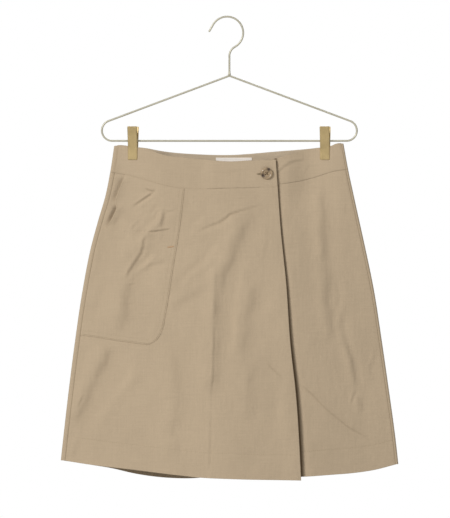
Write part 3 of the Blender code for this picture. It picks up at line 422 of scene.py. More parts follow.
FRONT = Surface(Face.FRONT, (
    # band
    Crease(((-172.7, 208.8), (-158.7, 208)), 0.42, 2.4, 0.4, 0.08),
    Crease(((-172.7, 201), (-160.3, 202.6)), 0.3, 2, 0.4),
    Crease(((-16.1, 239), (8.7, 237.5), (35, 235.9)), 0.14, 6, 0.3),
    Crease(((73, 241), (80, 234.4), (86.2, 229.7), (93.9, 225.1), (103.2, 222),
            (117.2, 220.4)), 0.28, 3.6, 0.15),
    Crease(((114.1, 246.8), (120.3, 232.8), (129.6, 222)), 0.12, 3, 0.4),
    Crease(((159.8, 211.1), (163.7, 208), (169.9, 206.5), (176.1, 205.7)), 0.25, 2.2, 0.4),
    Crease(((-163.4, 229.7), (-158.7, 243.7)), 0.25, 2.2, 0.4),
    # pocket
    Crease(((-132.4, 263.8), (-124.6, 266.9), (-113.8, 269.2)), 0.5, 2.6, 0.3, 0.22),
    Crease(((-115, 268.5), (-126.2, 276.2), (-132.4, 280.1), (-140.1, 285.5),
            (-153, 294.5)), 0.55, 2.8, 0.25, 0.16),
    Crease(((-117, 275.4), (-132.4, 285.5), (-149, 298)), -0.3, 3, 0.3),
    Crease(((-127.7, 301), (-146.3, 311.9)), 0.25, 3.5, 0.3),
    Crease(((-132.4, 310.3), (-140.1, 315.7), (-147.9, 322.7), (-152.5, 330.5)), 0.26, 3.5, 0.3),
    Crease(((-110.7, 291.7), (-123.1, 310.3)), -0.26, 4, 0.3),
    Crease(((-106, 288.6), (-106.8, 301), (-112.2, 313.4), (-123.1, 322.7), (-132.4, 335.1),
            (-140.1, 349.1)), -0.32, 7, 0.25),
    Crease(((-102.9, 291), (-104, 310), (-108, 328.9)), 0.34, 6, 0.4),
    Crease(((-81.2, 297.9), (-101.4, 301)), 0.22, 3, 0.4),
    Crease(((-127.7, 331.2), (-115.3, 330.5), (-98.3, 328.1), (-90.5, 327.4)), 0.5, 2.3, 0.15, 0.2),
    Crease(((-147.9, 331.2), (-130.8, 330.5)), 0.18, 2.2, 0.3),
    Crease(((-126.9, 332), (-130, 339.8), (-133.9, 346), (-133.9, 353.7), (-137, 364.6),
            (-143.2, 373.9), (-149.4, 383.2), (-155.6, 392.5), (-159.5, 401.8),
            (-161.8, 408)), 0.34, 4.2, 0.2, 0.1),
    Crease(((-107.6, 359.9), (-120, 370.8), (-130.8, 380.1), (-143.2, 390.9),
            (-149.4, 400.2)), -0.36, 5, 0.3),
    Crease(((-93.6, 373.9), (-104.5, 378.5), (-120, 382.4), (-129.3, 390.9),
            (-140.1, 395.6)), 0.34, 5.5, 0.3),
    Crease(((-127, 330), (-136, 360), (-152, 395), (-157, 425), (-158, 455), (-166, 497)),
           0.26, 21, 0.2),
    Crease(((-160.3, 442.8), (-144.8, 443.6)), 0.3, 1.9, 0.4),
    Crease(((-157.2, 412.6), (-141.7, 412.6)), 0.3, 1.9, 0.4),
    Crease(((-206.8, 352.2), (-209.9, 398.7)), -0.15, 3, 0.4),
    # below the pocket
    Crease(((-178.9, 505.6), (-189.7, 535.1), (-199, 552.1), (-209.9, 570.7), (-220.7, 592.4),
            (-230, 612.6), (-242.4, 632.7)), 0.36, 18, 0.13),
    Crease(((-226.1, 584.7), (-231.6, 595.5), (-236.2, 604.8)), 0.38, 2.1, 0.35, 0.1),
    Crease(((-147.9, 532), (-160.3, 561.4), (-178.9, 583.1), (-195.9, 609.5),
            (-214.5, 631.2)), -0.2, 11, 0.25),
    Crease(((-78.7, 494.8), (-81.2, 552.1), (-76.6, 592.4), (-85.9, 645.1),
            (-75, 694.7)), 0.17, 21, 0.2),
    Crease(((-161.8, 629.6), (-155.6, 635.8)), 0.25, 2.2, 0.4),
    Crease(((-163.4, 656.7), (-155.6, 656.7)), 0.22, 2, 0.4),
    Crease(((-73.5, 592.4), (-79.7, 617.2)), -0.12, 3, 0.3),
    Crease(((-231.6, 648.2), (-237.8, 666.8), (-242.4, 682.3)), 0.16, 6.5, 0.3),
    # middle
    Crease(((-37.8, 378.5), (-48.7, 387.8), (-61.1, 398.7), (-79.7, 420.4)), -0.2, 7, 0.25),
    Crease(((-30, 410), (-45.6, 422), (-66, 436), (-92, 452)), 0.18, 11, 0.25),
    Crease(((-58, 335), (-37.8, 325.5), (-14.6, 316.5), (-5.3, 310.3), (0.9, 304.5), (16.4, 299),
            (44.3, 291.7), (62.9, 287.1)), 0.46, 2.8, 0.25, 0.12),
    Crease(((-2.2, 308.8), (10.2, 305.7), (18, 302.6), (27.3, 297.9), (42.8, 293.3),
            (62.9, 285.5)), -0.26, 2.4, 0.15),
    Crease(((-61.1, 338.2), (-45.6, 338.2)), 0.14, 5, 0.3),
    Crease(((-58, 325.8), (-36.3, 307.2)), -0.12, 7, 0.3),
    Crease(((34, 292), (31.9, 310.3), (10.2, 359.9), (-6.8, 398.7), (-13.5, 430), (-16.5, 470),
            (-19, 530), (-22, 600)), 0.33, 17, 0.14),
    Crease(((-19, 378), (-21.5, 420), (-23.5, 466), (-24.2, 500)), 0.2, 6, 0.3),
    Crease(((22, 303), (-14, 322), (-45, 333), (-73.5, 338.2)), -0.16, 7, 0.25),
    Crease(((-11.5, 344.4), (-25.4, 359.9), (-36.3, 378.5), (-47.1, 394)), -0.16, 7, 0.25),
    Crease(((31.9, 367.7), (21.1, 390.9), (13.3, 414.2), (8.7, 437.4), (4, 499.4),
            (-6.8, 538.2)), -0.14, 7, 0.2),
    Crease(((61.4, 332), (50.5, 378.5)), 0.14, 4, 0.4),
    Crease(((44, 400), (40, 430), (30, 465), (23, 499.4), (16.4, 540)), 0.22, 17, 0.25),
    Crease(((-23.9, 468.4), (-24.6, 507.2), (-25.4, 545.9), (-27.7, 576.9), (-29.3, 623.4),
            (-30.8, 669.9), (-31.6, 707.1)), 0.28, 3, 0.1),
    Crease(((55, 530), (62.9, 540.3), (70.7, 547.5), (84, 559)), 0.18, 3, 0.35, 0.1),
    Crease(((36.6, 600.2), (39.7, 620.3)), 0.18, 3, 0.4),
    Crease(((39.7, 532), (50.5, 530.4)), 0.22, 2.1, 0.4),
    Crease(((33.5, 533.5), (33.5, 584.7), (31.9, 631.2)), 0.12, 14, 0.3),
    Crease(((78.4, 558.3), (78.4, 607.9), (75.3, 657.5)), -0.1, 14, 0.3),
    # right
    Crease(((145.9, 246.8), (146.6, 266.9), (145.1, 290.2), (146.6, 305.7), (148.2, 321.2),
            (148.2, 344.4), (148.2, 370.8), (143.5, 384.7)), 0.24, 13, 0.12),
    Crease(((182.3, 282.4), (179.2, 293.3), (177.6, 304.1)), 0.2, 2.5, 0.4),
    Crease(((145.1, 372.3), (148.2, 390.9), (152.8, 411.1), (151.3, 437.4), (155.9, 468.4),
            (160.6, 507.2)), 0.22, 13, 0.15),
    Crease(((163.7, 406.4), (166.8, 429.7), (165.2, 456)), 0.14, 5, 0.4),
    Crease(((174.5, 454.5), (173, 476.2), (177.6, 499.4), (183.8, 514.9), (190, 530.4),
            (194.7, 553.7), (197.8, 575.4)), 0.26, 8, 0.15),
    Crease(((197.8, 573.8), (191.6, 584.7), (186.9, 601.7)), 0.24, 3, 0.3),
    Crease(((199.3, 581.6), (204, 600.2), (205.5, 617.2)), 0.16, 8, 0.35),
    Crease(((227.2, 504.1), (225.7, 522.7), (219.5, 539.7), (214.8, 555.2)), 0.18, 5, 0.35),
    Crease(((108, 566), (128, 583.1), (146.6, 603.3), (165.2, 618.8), (184, 634),
            (216, 652)), 0.2, 3, 0.15, 0.18),
    Crease(((183.8, 635.8), (199.3, 642), (217.9, 645.1), (233.4, 648.2),
            (250.5, 654.4)), -0.16, 2.5, 0.2),
    Crease(((190, 648.2), (208.6, 652.1), (230.3, 654.4)), 0.14, 2.2, 0.2),
    Crease(((196.2, 663.7), (211.7, 665.3)), 0.16, 2, 0.4),
    Crease(((191.6, 674.6), (205.5, 673.8)), 0.16, 2, 0.4),
))
BACK = Surface(Face.BACK, (
    Crease(((-140, 265), (-120, 330), (-128, 430)), 0.25, 5, 0.25),
    Crease(((138, 262), (124, 340), (131, 450)), 0.25, 5, 0.25),
    Crease(((-149, 280), (-160, 420), (-168, 700)), 0.2, 12, 0.15),
    Crease(((-40, 330), (-62, 470), (-70, 700)), 0.22, 10, 0.15),
    Crease(((44, 300), (56, 480), (62, 700)), -0.2, 11, 0.15),
    Crease(((150, 285), (168, 470), (182, 700)), 0.22, 11, 0.15),
    Crease(((-20, 300), (10, 330), (52, 342)), 0.3, 2.8, 0.3),
    Crease(((-60, 560), (-10, 590), (60, 600)), 0.22, 3, 0.3),
    Crease(((90, 420), (70, 500), (74, 590)), -0.18, 7, 0.3),
    Crease(((-110, 450), (-92, 540), (-100, 640)), 0.2, 6, 0.3),
    Crease(((10, 380), (-6, 460), (0, 560)), 0.2, 6, 0.3),
    Crease(((196, 560), (150, 600), (96, 610)), 0.24, 2.8, 0.3),
    Crease(((-200, 520), (-170, 560), (-130, 572)), 0.22, 2.8, 0.3),
), seed=31, worn=0.0)


# ---- sheets -------------------------------------------------------------------------------------
FIRST_DROP = 400.0                      # where the search for a grid's places begins
CROSS_ROUNDS = 8


class Finish(Enum):
    """How a sheet ends at an edge line."""

    CUT = "cut"
    TUCKED = "tucked"
    TURNED = "turned"


@dataclass(frozen=True)
class Edge:
    """The end of a sheet at an edge line, with the width past it that is tucked or turned in."""

    finish: Finish = Finish.CUT
    width: float = 0.0


@dataclass(frozen=True)
class Lane:
    """One direction of a sheet's grid.

    share runs from 0 at the first edge line to 1 at the second, offset is a distance past that
    place, and layer is 0 on the outer cloth and 1 on cloth that is turned or tucked in.
    """

    share: Array
    offset: Array
    layer: Array

    @staticmethod
    def between(count: int, start: Edge, end: Edge, radius: float = 0.4,
                ends: float = 2.0) -> "Lane":
        """A lane of `count` steps with both ends finished.

        Args:
            count: Steps between the edge lines.
            start: End at the first line.
            end: End at the second line.
            radius: Of the turn at a turned end.
            ends: Width of the closer samples at both ends, less than a step.

        Returns:
            The lane, whose samples lie closer together near its ends.
        """
        lane = Lane.plain(count, ends * np.array([0.0, 0.25, 0.55, 1.0]))
        lane = lane.lengthened(False, *Lane.past(start, radius))
        return lane.lengthened(True, *Lane.past(end, radius))

    @staticmethod
    def plain(count: int, close: Array) -> "Lane":
        """A lane of `count` steps between its edge lines, with closer samples at both of them."""
        share = np.concatenate([np.zeros(close.size), np.linspace(0.0, 1.0, count + 1)[1:-1],
                                np.ones(close.size)])
        offset = np.concatenate([close, np.zeros(count - 1), -close[::-1]])
        return Lane(share, offset, np.zeros(share.size))

    def lengthened(self, at_end: bool, more: Array, depth: Array) -> "Lane":
        """This lane with samples past one of its edge lines.

        Args:
            at_end: True for the second line, False for the first.
            more: Outward distance of each sample, from the line on.
            depth: Their layers.

        Returns:
            The longer lane.
        """
        if at_end:
            return Lane(np.append(self.share, np.ones(more.size)), np.append(self.offset, more),
                        np.append(self.layer, depth))
        return Lane(np.append(np.zeros(more.size), self.share),
                    np.append(-more[::-1], self.offset), np.append(depth[::-1], self.layer))

    def past_start(self) -> Array:
        """The layers past the first line, and zero elsewhere."""
        return self.layer * (self.share < 0.5)

    def past_end(self) -> Array:
        """The layers past the second line, and zero elsewhere."""
        return self.layer * (self.share > 0.5)

    @staticmethod
    def past(edge: Edge, radius: float) -> tuple[Array, Array]:
        """Offsets and layers past an edge line: none, a tuck, or a half circle and the way back."""
        if edge.finish is Finish.TUCKED:
            offset = edge.width * np.array([0.12, 0.3, 0.55, 1.0])
            return offset, ease(0.0, 1.6, offset)
        if edge.finish is Finish.TURNED:
            turn = np.radians([22.5, 45.0, 67.5, 90.0, 112.5, 135.0, 157.5, 180.0])
            back = -np.linspace(0.0, edge.width, max(3, int(edge.width / 4.0)))[1:]
            return (np.concatenate([radius * np.sin(turn), back]),
                    np.concatenate([(1 - np.cos(turn)) / 2, np.ones(back.size)]))
        return np.zeros(0), np.zeros(0)


def cross(lines: tuple[Line, Line, Line, Line], across: Lane, down: Lane) -> tuple[Array, Array]:
    """Places of a grid between four edge lines.

    A column's x depends on its drop and a row's drop on its x, so both are found by going round
    x = left + (right - left) share + offset and the same for the drop CROSS_ROUNDS times.

    Args:
        lines: Left, right, top and bottom edge lines.
        across: Columns.
        down: Rows.

    Returns:
        x and drop, each rows by columns.
    """
    left, right, top, bottom = lines
    x = np.zeros((down.share.size, across.share.size))
    drop = np.full(x.shape, FIRST_DROP)
    for _ in range(CROSS_ROUNDS):
        x = left(drop) + (right(drop) - left(drop)) * across.share + across.offset
        drop = top(x) + (bottom(x) - top(x)) * down.share[:, None] + down.offset[:, None]
    return x, drop


def grid_faces(rows: int, columns: int, close_columns: bool = False) -> Array:
    """Quads of a grid of points, wound so that a front sheet's faces look to -Y."""
    index = np.arange(rows * columns).reshape(rows, columns)
    if close_columns:
        index = np.concatenate([index, index[:, :1]], axis=1)
    quads = np.stack([index[:-1, :-1], index[1:, :-1], index[1:, 1:], index[:-1, 1:]], axis=-1)
    return quads.reshape(-1, 4)


def make_mesh(name: str, points: Array, faces: Array | list, smooth: bool = True) -> bpy.types.Mesh:
    """A mesh from points in millimetres and faces of equal or unlike size."""
    mesh = bpy.data.meshes.new(name)
    mesh.from_pydata((np.asarray(points).reshape(-1, 3) * MM).tolist(), [],
                     faces.tolist() if isinstance(faces, np.ndarray) else faces)
    mesh.update()
    if smooth:
        mesh.shade_smooth()
    return mesh


def set_uv(mesh: bpy.types.Mesh, u: Array, v: Array) -> None:
    """Gives each corner its vertex's (u, v), in metres of cloth."""
    layer = mesh.uv_layers.new(name="cloth")
    corners = np.zeros(len(mesh.loops), np.int32)
    mesh.loops.foreach_get("vertex_index", corners)
    flat = np.stack([u.ravel()[corners], v.ravel()[corners]], axis=-1) * MM
    layer.data.foreach_set("uv", flat.astype(np.float32).ravel())


def set_attribute(mesh: bpy.types.Mesh, name: str, values: Array) -> None:
    """Stores one number for each vertex."""
    store = mesh.attributes.new(name, "FLOAT", "POINT")
    store.data.foreach_set("value", values.astype(np.float32).ravel())


def add_piece(name: str, mesh: bpy.types.Mesh, material: bpy.types.Material, slot: str,
              nodes: Sequence[str] = ()) -> bpy.types.Object:
    """Links a mesh as a piece of the object.

    Args:
        name: The piece's name.
        mesh: Its mesh, in the frame's place.
        material: Its finish.
        slot: Name of a material slot; not used.
        nodes: CAD nodes that it stands for.

    Returns:
        The object, which rides on the part's body.
    """
    obj = bpy.data.objects.new(name, mesh)
    mesh.materials.append(material)
    bpy.context.scene.collection.objects.link(obj)
    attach(obj, BODY)
    if nodes:
        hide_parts(*nodes)
    log.info("%s: %d faces", name, len(mesh.polygons))
    return obj


def add_wall(obj: bpy.types.Object, thickness: float, bevel: float = 0.0) -> None:
    """Gives a sheet its wall, half to each side, and rounds its rim by `bevel`."""
    wall = obj.modifiers.new("Wall", "SOLIDIFY")
    wall.thickness = thickness * MM
    wall.offset = 0.0
    if bevel > 0:
        rounded = obj.modifiers.new("Rim", "BEVEL")
        rounded.width = bevel * MM
        rounded.segments = 3
        rounded.limit_method = "ANGLE"
        rounded.angle_limit = math.radians(50)


@dataclass(frozen=True)
class Cloth:
    """What a sheet is made of, with its thickness and the rounding of its rim."""

    material: bpy.types.Material
    slot: str
    wall: float
    bevel: float = 0.0


@dataclass(frozen=True)
class Cut:
    """A sheet's cut: the CAD nodes it stands for, its flat width and length in metres, the names of
    what carries it, and its area in square metres."""

    nodes: tuple[str, ...]
    flat: tuple[float, float]
    hangs_from: tuple[str, ...]
    area: float | None = None


def add_sheet(name: str, points: Array, u: Array, v: Array, shade: Array, cloth: Cloth, cut: Cut,
              pale: Array | None = None) -> None:
    """Makes a grid a piece of cloth.

    Args:
        name: The piece's name.
        points: Rows by columns by three.
        u: Flat place across, in millimetres.
        v: Flat place down, in millimetres.
        shade: Painted shade, stored as the seam attribute: darkness along seams, creases, gaps and
            hollows.
        cloth: Its material and wall.
        cut: The CAD nodes it stands for, which it hides; its flat size, area and carriers are not
            used.
        pale: The pale attribute: painted light on the cloth's inner side, which lies in shade.
    """
    mesh = make_mesh(name, points, grid_faces(*points.shape[:2]))
    set_uv(mesh, u, -v)
    # The seam attribute is painted shade: the cloth darkens towards its shadow colour where it is
    # high.
    set_attribute(mesh, "seam", np.clip(shade, 0.0, 1.0))
    # The pale attribute is painted light.
    if pale is not None:
        set_attribute(mesh, "pale", pale)
    obj = add_piece(name, mesh, cloth.material, cloth.slot, cut.nodes)
    add_wall(obj, cloth.wall, cloth.bevel)
    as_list(cut.hangs_from)


# ---- finishes -----------------------------------------------------------------------------------
class NodeKit:
    """Short ways to lay and link shader nodes in one tree."""

    def __init__(self, tree: bpy.types.NodeTree) -> None:
        """Keeps the tree."""
        self.tree = tree

    def add(self, kind: str, **values: object) -> bpy.types.Node:
        """A node with its properties set by name."""
        node = self.tree.nodes.new(kind)
        for key, value in values.items():
            setattr(node, key, value)
        return node

    def link(self, source: bpy.types.NodeSocket, target: bpy.types.NodeSocket) -> None:
        """Joins two sockets."""
        self.tree.links.new(source, target)

    def put(self, socket: bpy.types.NodeSocket, value: object) -> None:
        """Gives an input its value: another socket, a colour of three numbers, or a plain value."""
        if isinstance(value, bpy.types.NodeSocket):
            self.link(value, socket)
        elif socket.type == "RGBA":
            socket.default_value = (*value, 1.0)
        else:
            socket.default_value = value

    def fill(self, node: bpy.types.Node, values: dict[str, object]) -> bpy.types.Node:
        """Gives a node's inputs their values by name, and returns the node."""
        for name, value in values.items():
            self.put(node.inputs[name], value)
        return node

    def math(self, operation: str, first: object, second: object = 0.0) -> bpy.types.NodeSocket:
        """A Math node on two sockets or numbers."""
        node = self.add("ShaderNodeMath", operation=operation)
        for socket, value in zip(node.inputs, (first, second)):
            self.put(socket, value)
        return node.outputs[0]

    def mix(self, share: object, first: object, second: object,
            blend: str = "MIX") -> bpy.types.NodeSocket:
        """A colour mix of two sockets or colours."""
        node = self.add("ShaderNodeMix", data_type="RGBA", blend_type=blend)
        for place, value in ((0, share), (6, first), (7, second)):
            self.put(node.inputs[place], value)
        return node.outputs[2]

    def noise(self, vector: bpy.types.NodeSocket, scale: float, detail: float = 2.0,
              roughness: float = 0.5) -> bpy.types.NodeSocket:
        """A noise texture's value."""
        node = self.add("ShaderNodeTexNoise")
        self.fill(node, {"Vector": vector, "Scale": scale, "Detail": detail,
                         "Roughness": roughness})
        return node.outputs["Fac"]

    def scaled(self, vector: bpy.types.NodeSocket,
               scale: tuple[float, float, float]) -> bpy.types.NodeSocket:
        """A vector through a Mapping node that scales it."""
        node = self.add("ShaderNodeMapping")
        return self.fill(node, {"Vector": vector, "Scale": scale}).outputs["Vector"]

    def map_range(self, value: bpy.types.NodeSocket, low: float, high: float, to_low: float,
                  to_high: float) -> bpy.types.NodeSocket:
        """A value carried from one range to another, clamped."""
        node = self.add("ShaderNodeMapRange")
        self.fill(node, {"Value": value, "From Min": low, "From Max": high, "To Min": to_low,
                         "To Max": to_high})
        return node.outputs["Result"]

    def group(self, tree: bpy.types.NodeTree, values: dict[str, object]) -> bpy.types.Node:
        """A shared group with its inputs given by name."""
        return self.fill(self.add("ShaderNodeGroup", node_tree=tree), values)

    def bump(self, height: bpy.types.NodeSocket, distance: float, strength: float = 1.0,
             normal: bpy.types.NodeSocket | None = None) -> bpy.types.NodeSocket:
        """A normal lifted by a height, over another normal if one is given."""
        node = self.add("ShaderNodeBump")
        self.fill(node, {"Height": height, "Distance": distance, "Strength": strength})
        if normal is not None:
            self.link(normal, node.inputs["Normal"])
        return node.outputs[0]

    def attribute(self, name: str) -> bpy.types.NodeSocket:
        """A number that the mesh stores for each vertex."""
        return self.add("ShaderNodeAttribute", attribute_name=name).outputs["Fac"]

    def place(self) -> bpy.types.NodeSocket:
        """The place on the object, in its own axes."""
        return self.add("ShaderNodeTexCoord").outputs["Object"]


def start_material(name: str) -> tuple[bpy.types.Material, NodeKit, bpy.types.Node]:
    """A new material, a kit on its tree and its Principled shader."""
    made = bpy.data.materials.new(name)
    made.use_nodes = True
    return made, NodeKit(made.node_tree), made.node_tree.nodes["Principled BSDF"]


def new_group(name: str, inputs: Sequence[tuple[str, str, float]],
              outputs: Sequence[str]) -> tuple[NodeKit, bpy.types.Node, bpy.types.Node]:
    """An empty shader group with named sockets.

    Args:
        name: The group's name.
        inputs: (name, socket type, default) of each input; a vector's default isn't used.
        outputs: Names of the outputs, all plain numbers.

    Returns:
        A kit on the group, its input node and its output node.
    """
    tree = bpy.data.node_groups.new(name, "ShaderNodeTree")
    for label, kind, default in inputs:
        socket = tree.interface.new_socket(name=label, in_out="INPUT", socket_type=kind)
        if kind == "NodeSocketFloat":
            socket.default_value = default
    for label in outputs:
        tree.interface.new_socket(name=label, in_out="OUTPUT", socket_type="NodeSocketFloat")
    kit = NodeKit(tree)
    return kit, kit.add("NodeGroupInput"), kit.add("NodeGroupOutput")


def weave_group() -> bpy.types.NodeTree:
    """Plain weave on UV in metres of cloth.

    Height is |sin| of the warp places times |sin| of the weft places, with the threads' thickness
    varied by noise drawn out along each thread. Streak is that noise alone.
    """
    kit, given, out = new_group(
        "cloth_weave", [("Vector", "NodeSocketVector", 0.0), ("Threads", "NodeSocketFloat", 1800.0)],
        ["Height", "Streak"])
    parts = kit.add("ShaderNodeSeparateXYZ")
    kit.link(given.outputs["Vector"], parts.inputs[0])
    waves = [kit.math("ABSOLUTE", kit.math("SINE", kit.math(
        "MULTIPLY", kit.math("MULTIPLY", parts.outputs[axis], given.outputs["Threads"]), math.pi)))
        for axis in (0, 1)]
    warp = kit.noise(kit.scaled(given.outputs["Vector"], (900.0, 26.0, 1.0)), 1.0, 2.0)
    weft = kit.noise(kit.scaled(given.outputs["Vector"], (26.0, 900.0, 1.0)), 1.0, 2.0)
    streak = kit.math("MULTIPLY", kit.math("ADD", warp, weft), 0.5)
    kit.link(kit.math("MULTIPLY", kit.math("MULTIPLY", waves[0], waves[1]), streak),
             out.inputs["Height"])
    kit.link(streak, out.inputs["Streak"])
    return kit.tree


def rumple_group() -> bpy.types.NodeTree:
    """Soft unevenness of worn-in cloth: three noises, the middle one drawn out both ways."""
    kit, given, out = new_group(
        "cloth_rumple", [("Vector", "NodeSocketVector", 0.0)], ["Height", "Mottle"])
    vector = given.outputs["Vector"]
    broad = kit.noise(vector, 18.0, 3.0)
    cross_way = kit.noise(kit.scaled(vector, (60.0, 210.0, 1.0)), 1.0, 3.0)
    long_way = kit.noise(kit.scaled(vector, (190.0, 45.0, 1.0)), 1.0, 3.0)
    both = kit.math("ADD", cross_way, long_way)
    kit.link(kit.math("ADD", kit.math("MULTIPLY", broad, 1.2), both), out.inputs["Height"])
    kit.link(kit.noise(vector, 9.0, 4.0, 0.6), out.inputs["Mottle"])
    return kit.tree


def tarnish_group() -> bpy.types.NodeTree:
    """Handled metal: Tarnish is a cloudy mask, Grain is fine streaking along Z."""
    kit, given, out = new_group(
        "metal_tarnish", [("Vector", "NodeSocketVector", 0.0)], ["Tarnish", "Grain"])
    kit.link(kit.noise(given.outputs["Vector"], 60.0, 5.0, 0.6), out.inputs["Tarnish"])
    kit.link(kit.noise(kit.scaled(given.outputs["Vector"], (2600.0, 2600.0, 90.0)), 1.0, 2.0),
             out.inputs["Grain"])
    return kit.tree


Colour = tuple[float, float, float]


@dataclass(frozen=True)
class ClothFinish:
    """Woven cloth on the piece's own UV map."""

    name: str
    base: Colour
    shadow: Colour
    threads: float = 1900.0
    weave_depth: float = 0.00012
    rumple_depth: float = 0.0005
    streaks: float = 0.04
    mottle: float = 0.03
    roughness: float = 0.88
    sheen: float = 0.12
    sheen_roughness: float = 0.5
    specular: float = 0.25
    weave_strength: float = 0.5
    # painted light: how much lighter the inner side is where the pale attribute is one, offsetting its
    # shade
    painted_light_gain: Colour = (1.16, 1.21, 1.28)

    def material(self, groups: dict[str, bpy.types.NodeTree]) -> bpy.types.Material:
        """Builds the material: the seam attribute paints shade into it, the pale attribute paints
        light onto the cloth's inner side, which lies in shade, and the colour varies with the threads."""
        made, kit, shader = start_material(self.name)
        uv = kit.add("ShaderNodeUVMap", uv_map="cloth").outputs[0]
        weave = kit.group(groups["weave"], {"Vector": uv, "Threads": self.threads})
        rumple = kit.group(groups["rumple"], {"Vector": uv})
        streak = kit.map_range(weave.outputs["Streak"], 0.35, 0.65, 1 - self.streaks,
                               1 + self.streaks)
        mottle = kit.map_range(rumple.outputs["Mottle"], 0.3, 0.7, 1 - self.mottle, 1 + self.mottle)
        both = kit.math("MULTIPLY", streak, mottle)
        tint = kit.fill(kit.add("ShaderNodeCombineColor"),
                        dict.fromkeys(("Red", "Green", "Blue"), both))
        # Painted light on the inner side, mixed in by the pale attribute.
        inside = tuple(c * more for c, more in zip(self.base, self.painted_light_gain))
        plain = kit.mix(kit.attribute("pale"), self.base, inside)
        varied = kit.mix(1.0, plain, tint.outputs[0], "MULTIPLY")
        fine = kit.bump(weave.outputs["Height"], self.weave_depth, self.weave_strength)
        # Painted shade: the seam attribute mixes in the shadow colour.
        kit.fill(shader, {
            "Base Color": kit.mix(kit.attribute("seam"), varied, self.shadow),
            "Roughness": self.roughness,
            "Sheen Weight": self.sheen,
            "Sheen Roughness": self.sheen_roughness,
            "Specular IOR Level": self.specular,
            "Normal": kit.bump(rumple.outputs["Height"], self.rumple_depth, normal=fine)})
        return made


@dataclass(frozen=True)
class MetalFinish:
    """Plated sheet or wire."""

    name: str
    base: Colour
    dull: Colour
    roughness: float
    spread: float = 0.08
    metallic: float = 1.0
    grain: float = 0.10             # strength of the bump
    grain_depth: float = 0.00002

    def material(self, groups: dict[str, bpy.types.NodeTree]) -> bpy.types.Material:
        """Builds the material: tarnish shifts the colour and the roughness, grain lifts the normal."""
        made, kit, shader = start_material(self.name)
        wear = kit.group(groups["tarnish"], {"Vector": kit.place()})
        cloud = kit.map_range(wear.outputs["Tarnish"], 0.35, 0.7, 0.0, 1.0)
        grain = wear.outputs["Grain"]
        kit.fill(shader, {
            "Base Color": kit.mix(cloud, self.base, self.dull),
            "Roughness": kit.map_range(grain, 0.3, 0.7, self.roughness - self.spread,
                                       self.roughness + self.spread),
            "Metallic": self.metallic,
            "Normal": kit.bump(grain, self.grain_depth, self.grain)})
        return made


@dataclass(frozen=True)
class HornFinish:
    """Mottled horn of a button, darker where its dark attribute says: marks and painted shade."""

    name: str
    pale: Colour
    dark: Colour
    roughness: float = 0.32
    growth: float = 0.22            # most that the noise mixes in of the dark
    coat: float = 0.3
    coat_roughness: float = 0.15

    def material(self, groups: dict[str, bpy.types.NodeTree]) -> bpy.types.Material:
        """Builds the material: noise drawn out sideways, and the dark attribute, mix two browns."""
        made, kit, shader = start_material(self.name)
        cloud = kit.noise(kit.scaled(kit.place(), (300.0, 300.0, 700.0)), 1.0, 4.0)
        grown = kit.math("MULTIPLY", kit.map_range(cloud, 0.35, 0.65, 0.0, 1.0), self.growth)
        share = kit.math("MINIMUM", kit.math("ADD", grown, kit.attribute("dark")), 1.0)
        kit.fill(shader, {
            "Base Color": kit.mix(share, self.pale, self.dark),
            "Roughness": kit.map_range(cloud, 0.3, 0.7, self.roughness - 0.06,
                                       self.roughness + 0.1),
            "Coat Weight": self.coat,
            "Coat Roughness": self.coat_roughness})
        return made


@dataclass(frozen=True)
class ThreadFinish:
    """Sewing thread: plies wind along it."""

    name: str
    base: Colour
    roughness: float = 0.7
    spread: float = 0.1
    shaded: float = 0.75            # how dark the thread is between its plies
    ply_depth: float = 0.00008

    def material(self, groups: dict[str, bpy.types.NodeTree]) -> bpy.types.Material:
        """Builds the material: a fine noise varies the colour and the normal."""
        made, kit, shader = start_material(self.name)
        plies = kit.noise(kit.place(), 2600.0, 2.0)
        darker = tuple(c * self.shaded for c in self.base)
        kit.fill(shader, {
            "Base Color": kit.mix(plies, darker, self.base),
            "Roughness": kit.map_range(plies, 0.3, 0.7, self.roughness - self.spread,
                                       self.roughness + self.spread),
            "Normal": kit.bump(plies, self.ply_depth)})
        return made


class Wardrobe:
    """All finishes of the object, by name."""

    def __init__(self) -> None:
        """Builds the shared groups and every material."""
        groups = {"weave": weave_group(), "rumple": rumple_group(), "tarnish": tarnish_group()}
        self.twill = ClothFinish("beige_cloth", (0.465, 0.361, 0.244), (0.075, 0.042, 0.014)
                                 ).material(groups)
        self.shorts = ClothFinish("shorts_cloth", (0.44, 0.345, 0.235), (0.18, 0.13, 0.08),
                                  threads=2200.0, roughness=0.85).material(groups)
        self.ribbon = ClothFinish("label_ribbon", (0.93, 0.87, 0.80), (0.5, 0.45, 0.4),
                                  threads=3600.0, weave_depth=0.00005, rumple_depth=0.0001,
                                  streaks=0.02, mottle=0.01, roughness=0.55, sheen=0.3
                                  ).material(groups)
        self.horn = HornFinish("horn", (0.42, 0.30, 0.175), (0.04, 0.018, 0.007), 0.45
                               ).material(groups)
        self.thread = ThreadFinish("beige_thread", (0.40, 0.31, 0.19)).material(groups)
        self.button_thread = ThreadFinish("brown_thread", (0.16, 0.10, 0.05)).material(groups)
        self.orange_thread = ThreadFinish("orange_thread", (0.58, 0.37, 0.21)).material(groups)
        self.sheet_brass = MetalFinish("clip_brass", (0.57, 0.43, 0.21), (0.48, 0.36, 0.17), 0.42,
                                       metallic=0.55).material(groups)
        self.wire_brass = MetalFinish("wire_brass", (0.57, 0.54, 0.43), (0.51, 0.475, 0.36), 0.45,
                                      spread=0.015, metallic=0.4, grain=0.005).material(groups)
        self.spring_steel = MetalFinish("spring_steel", (0.45, 0.42, 0.36), (0.30, 0.28, 0.24),
                                        0.38).material(groups)


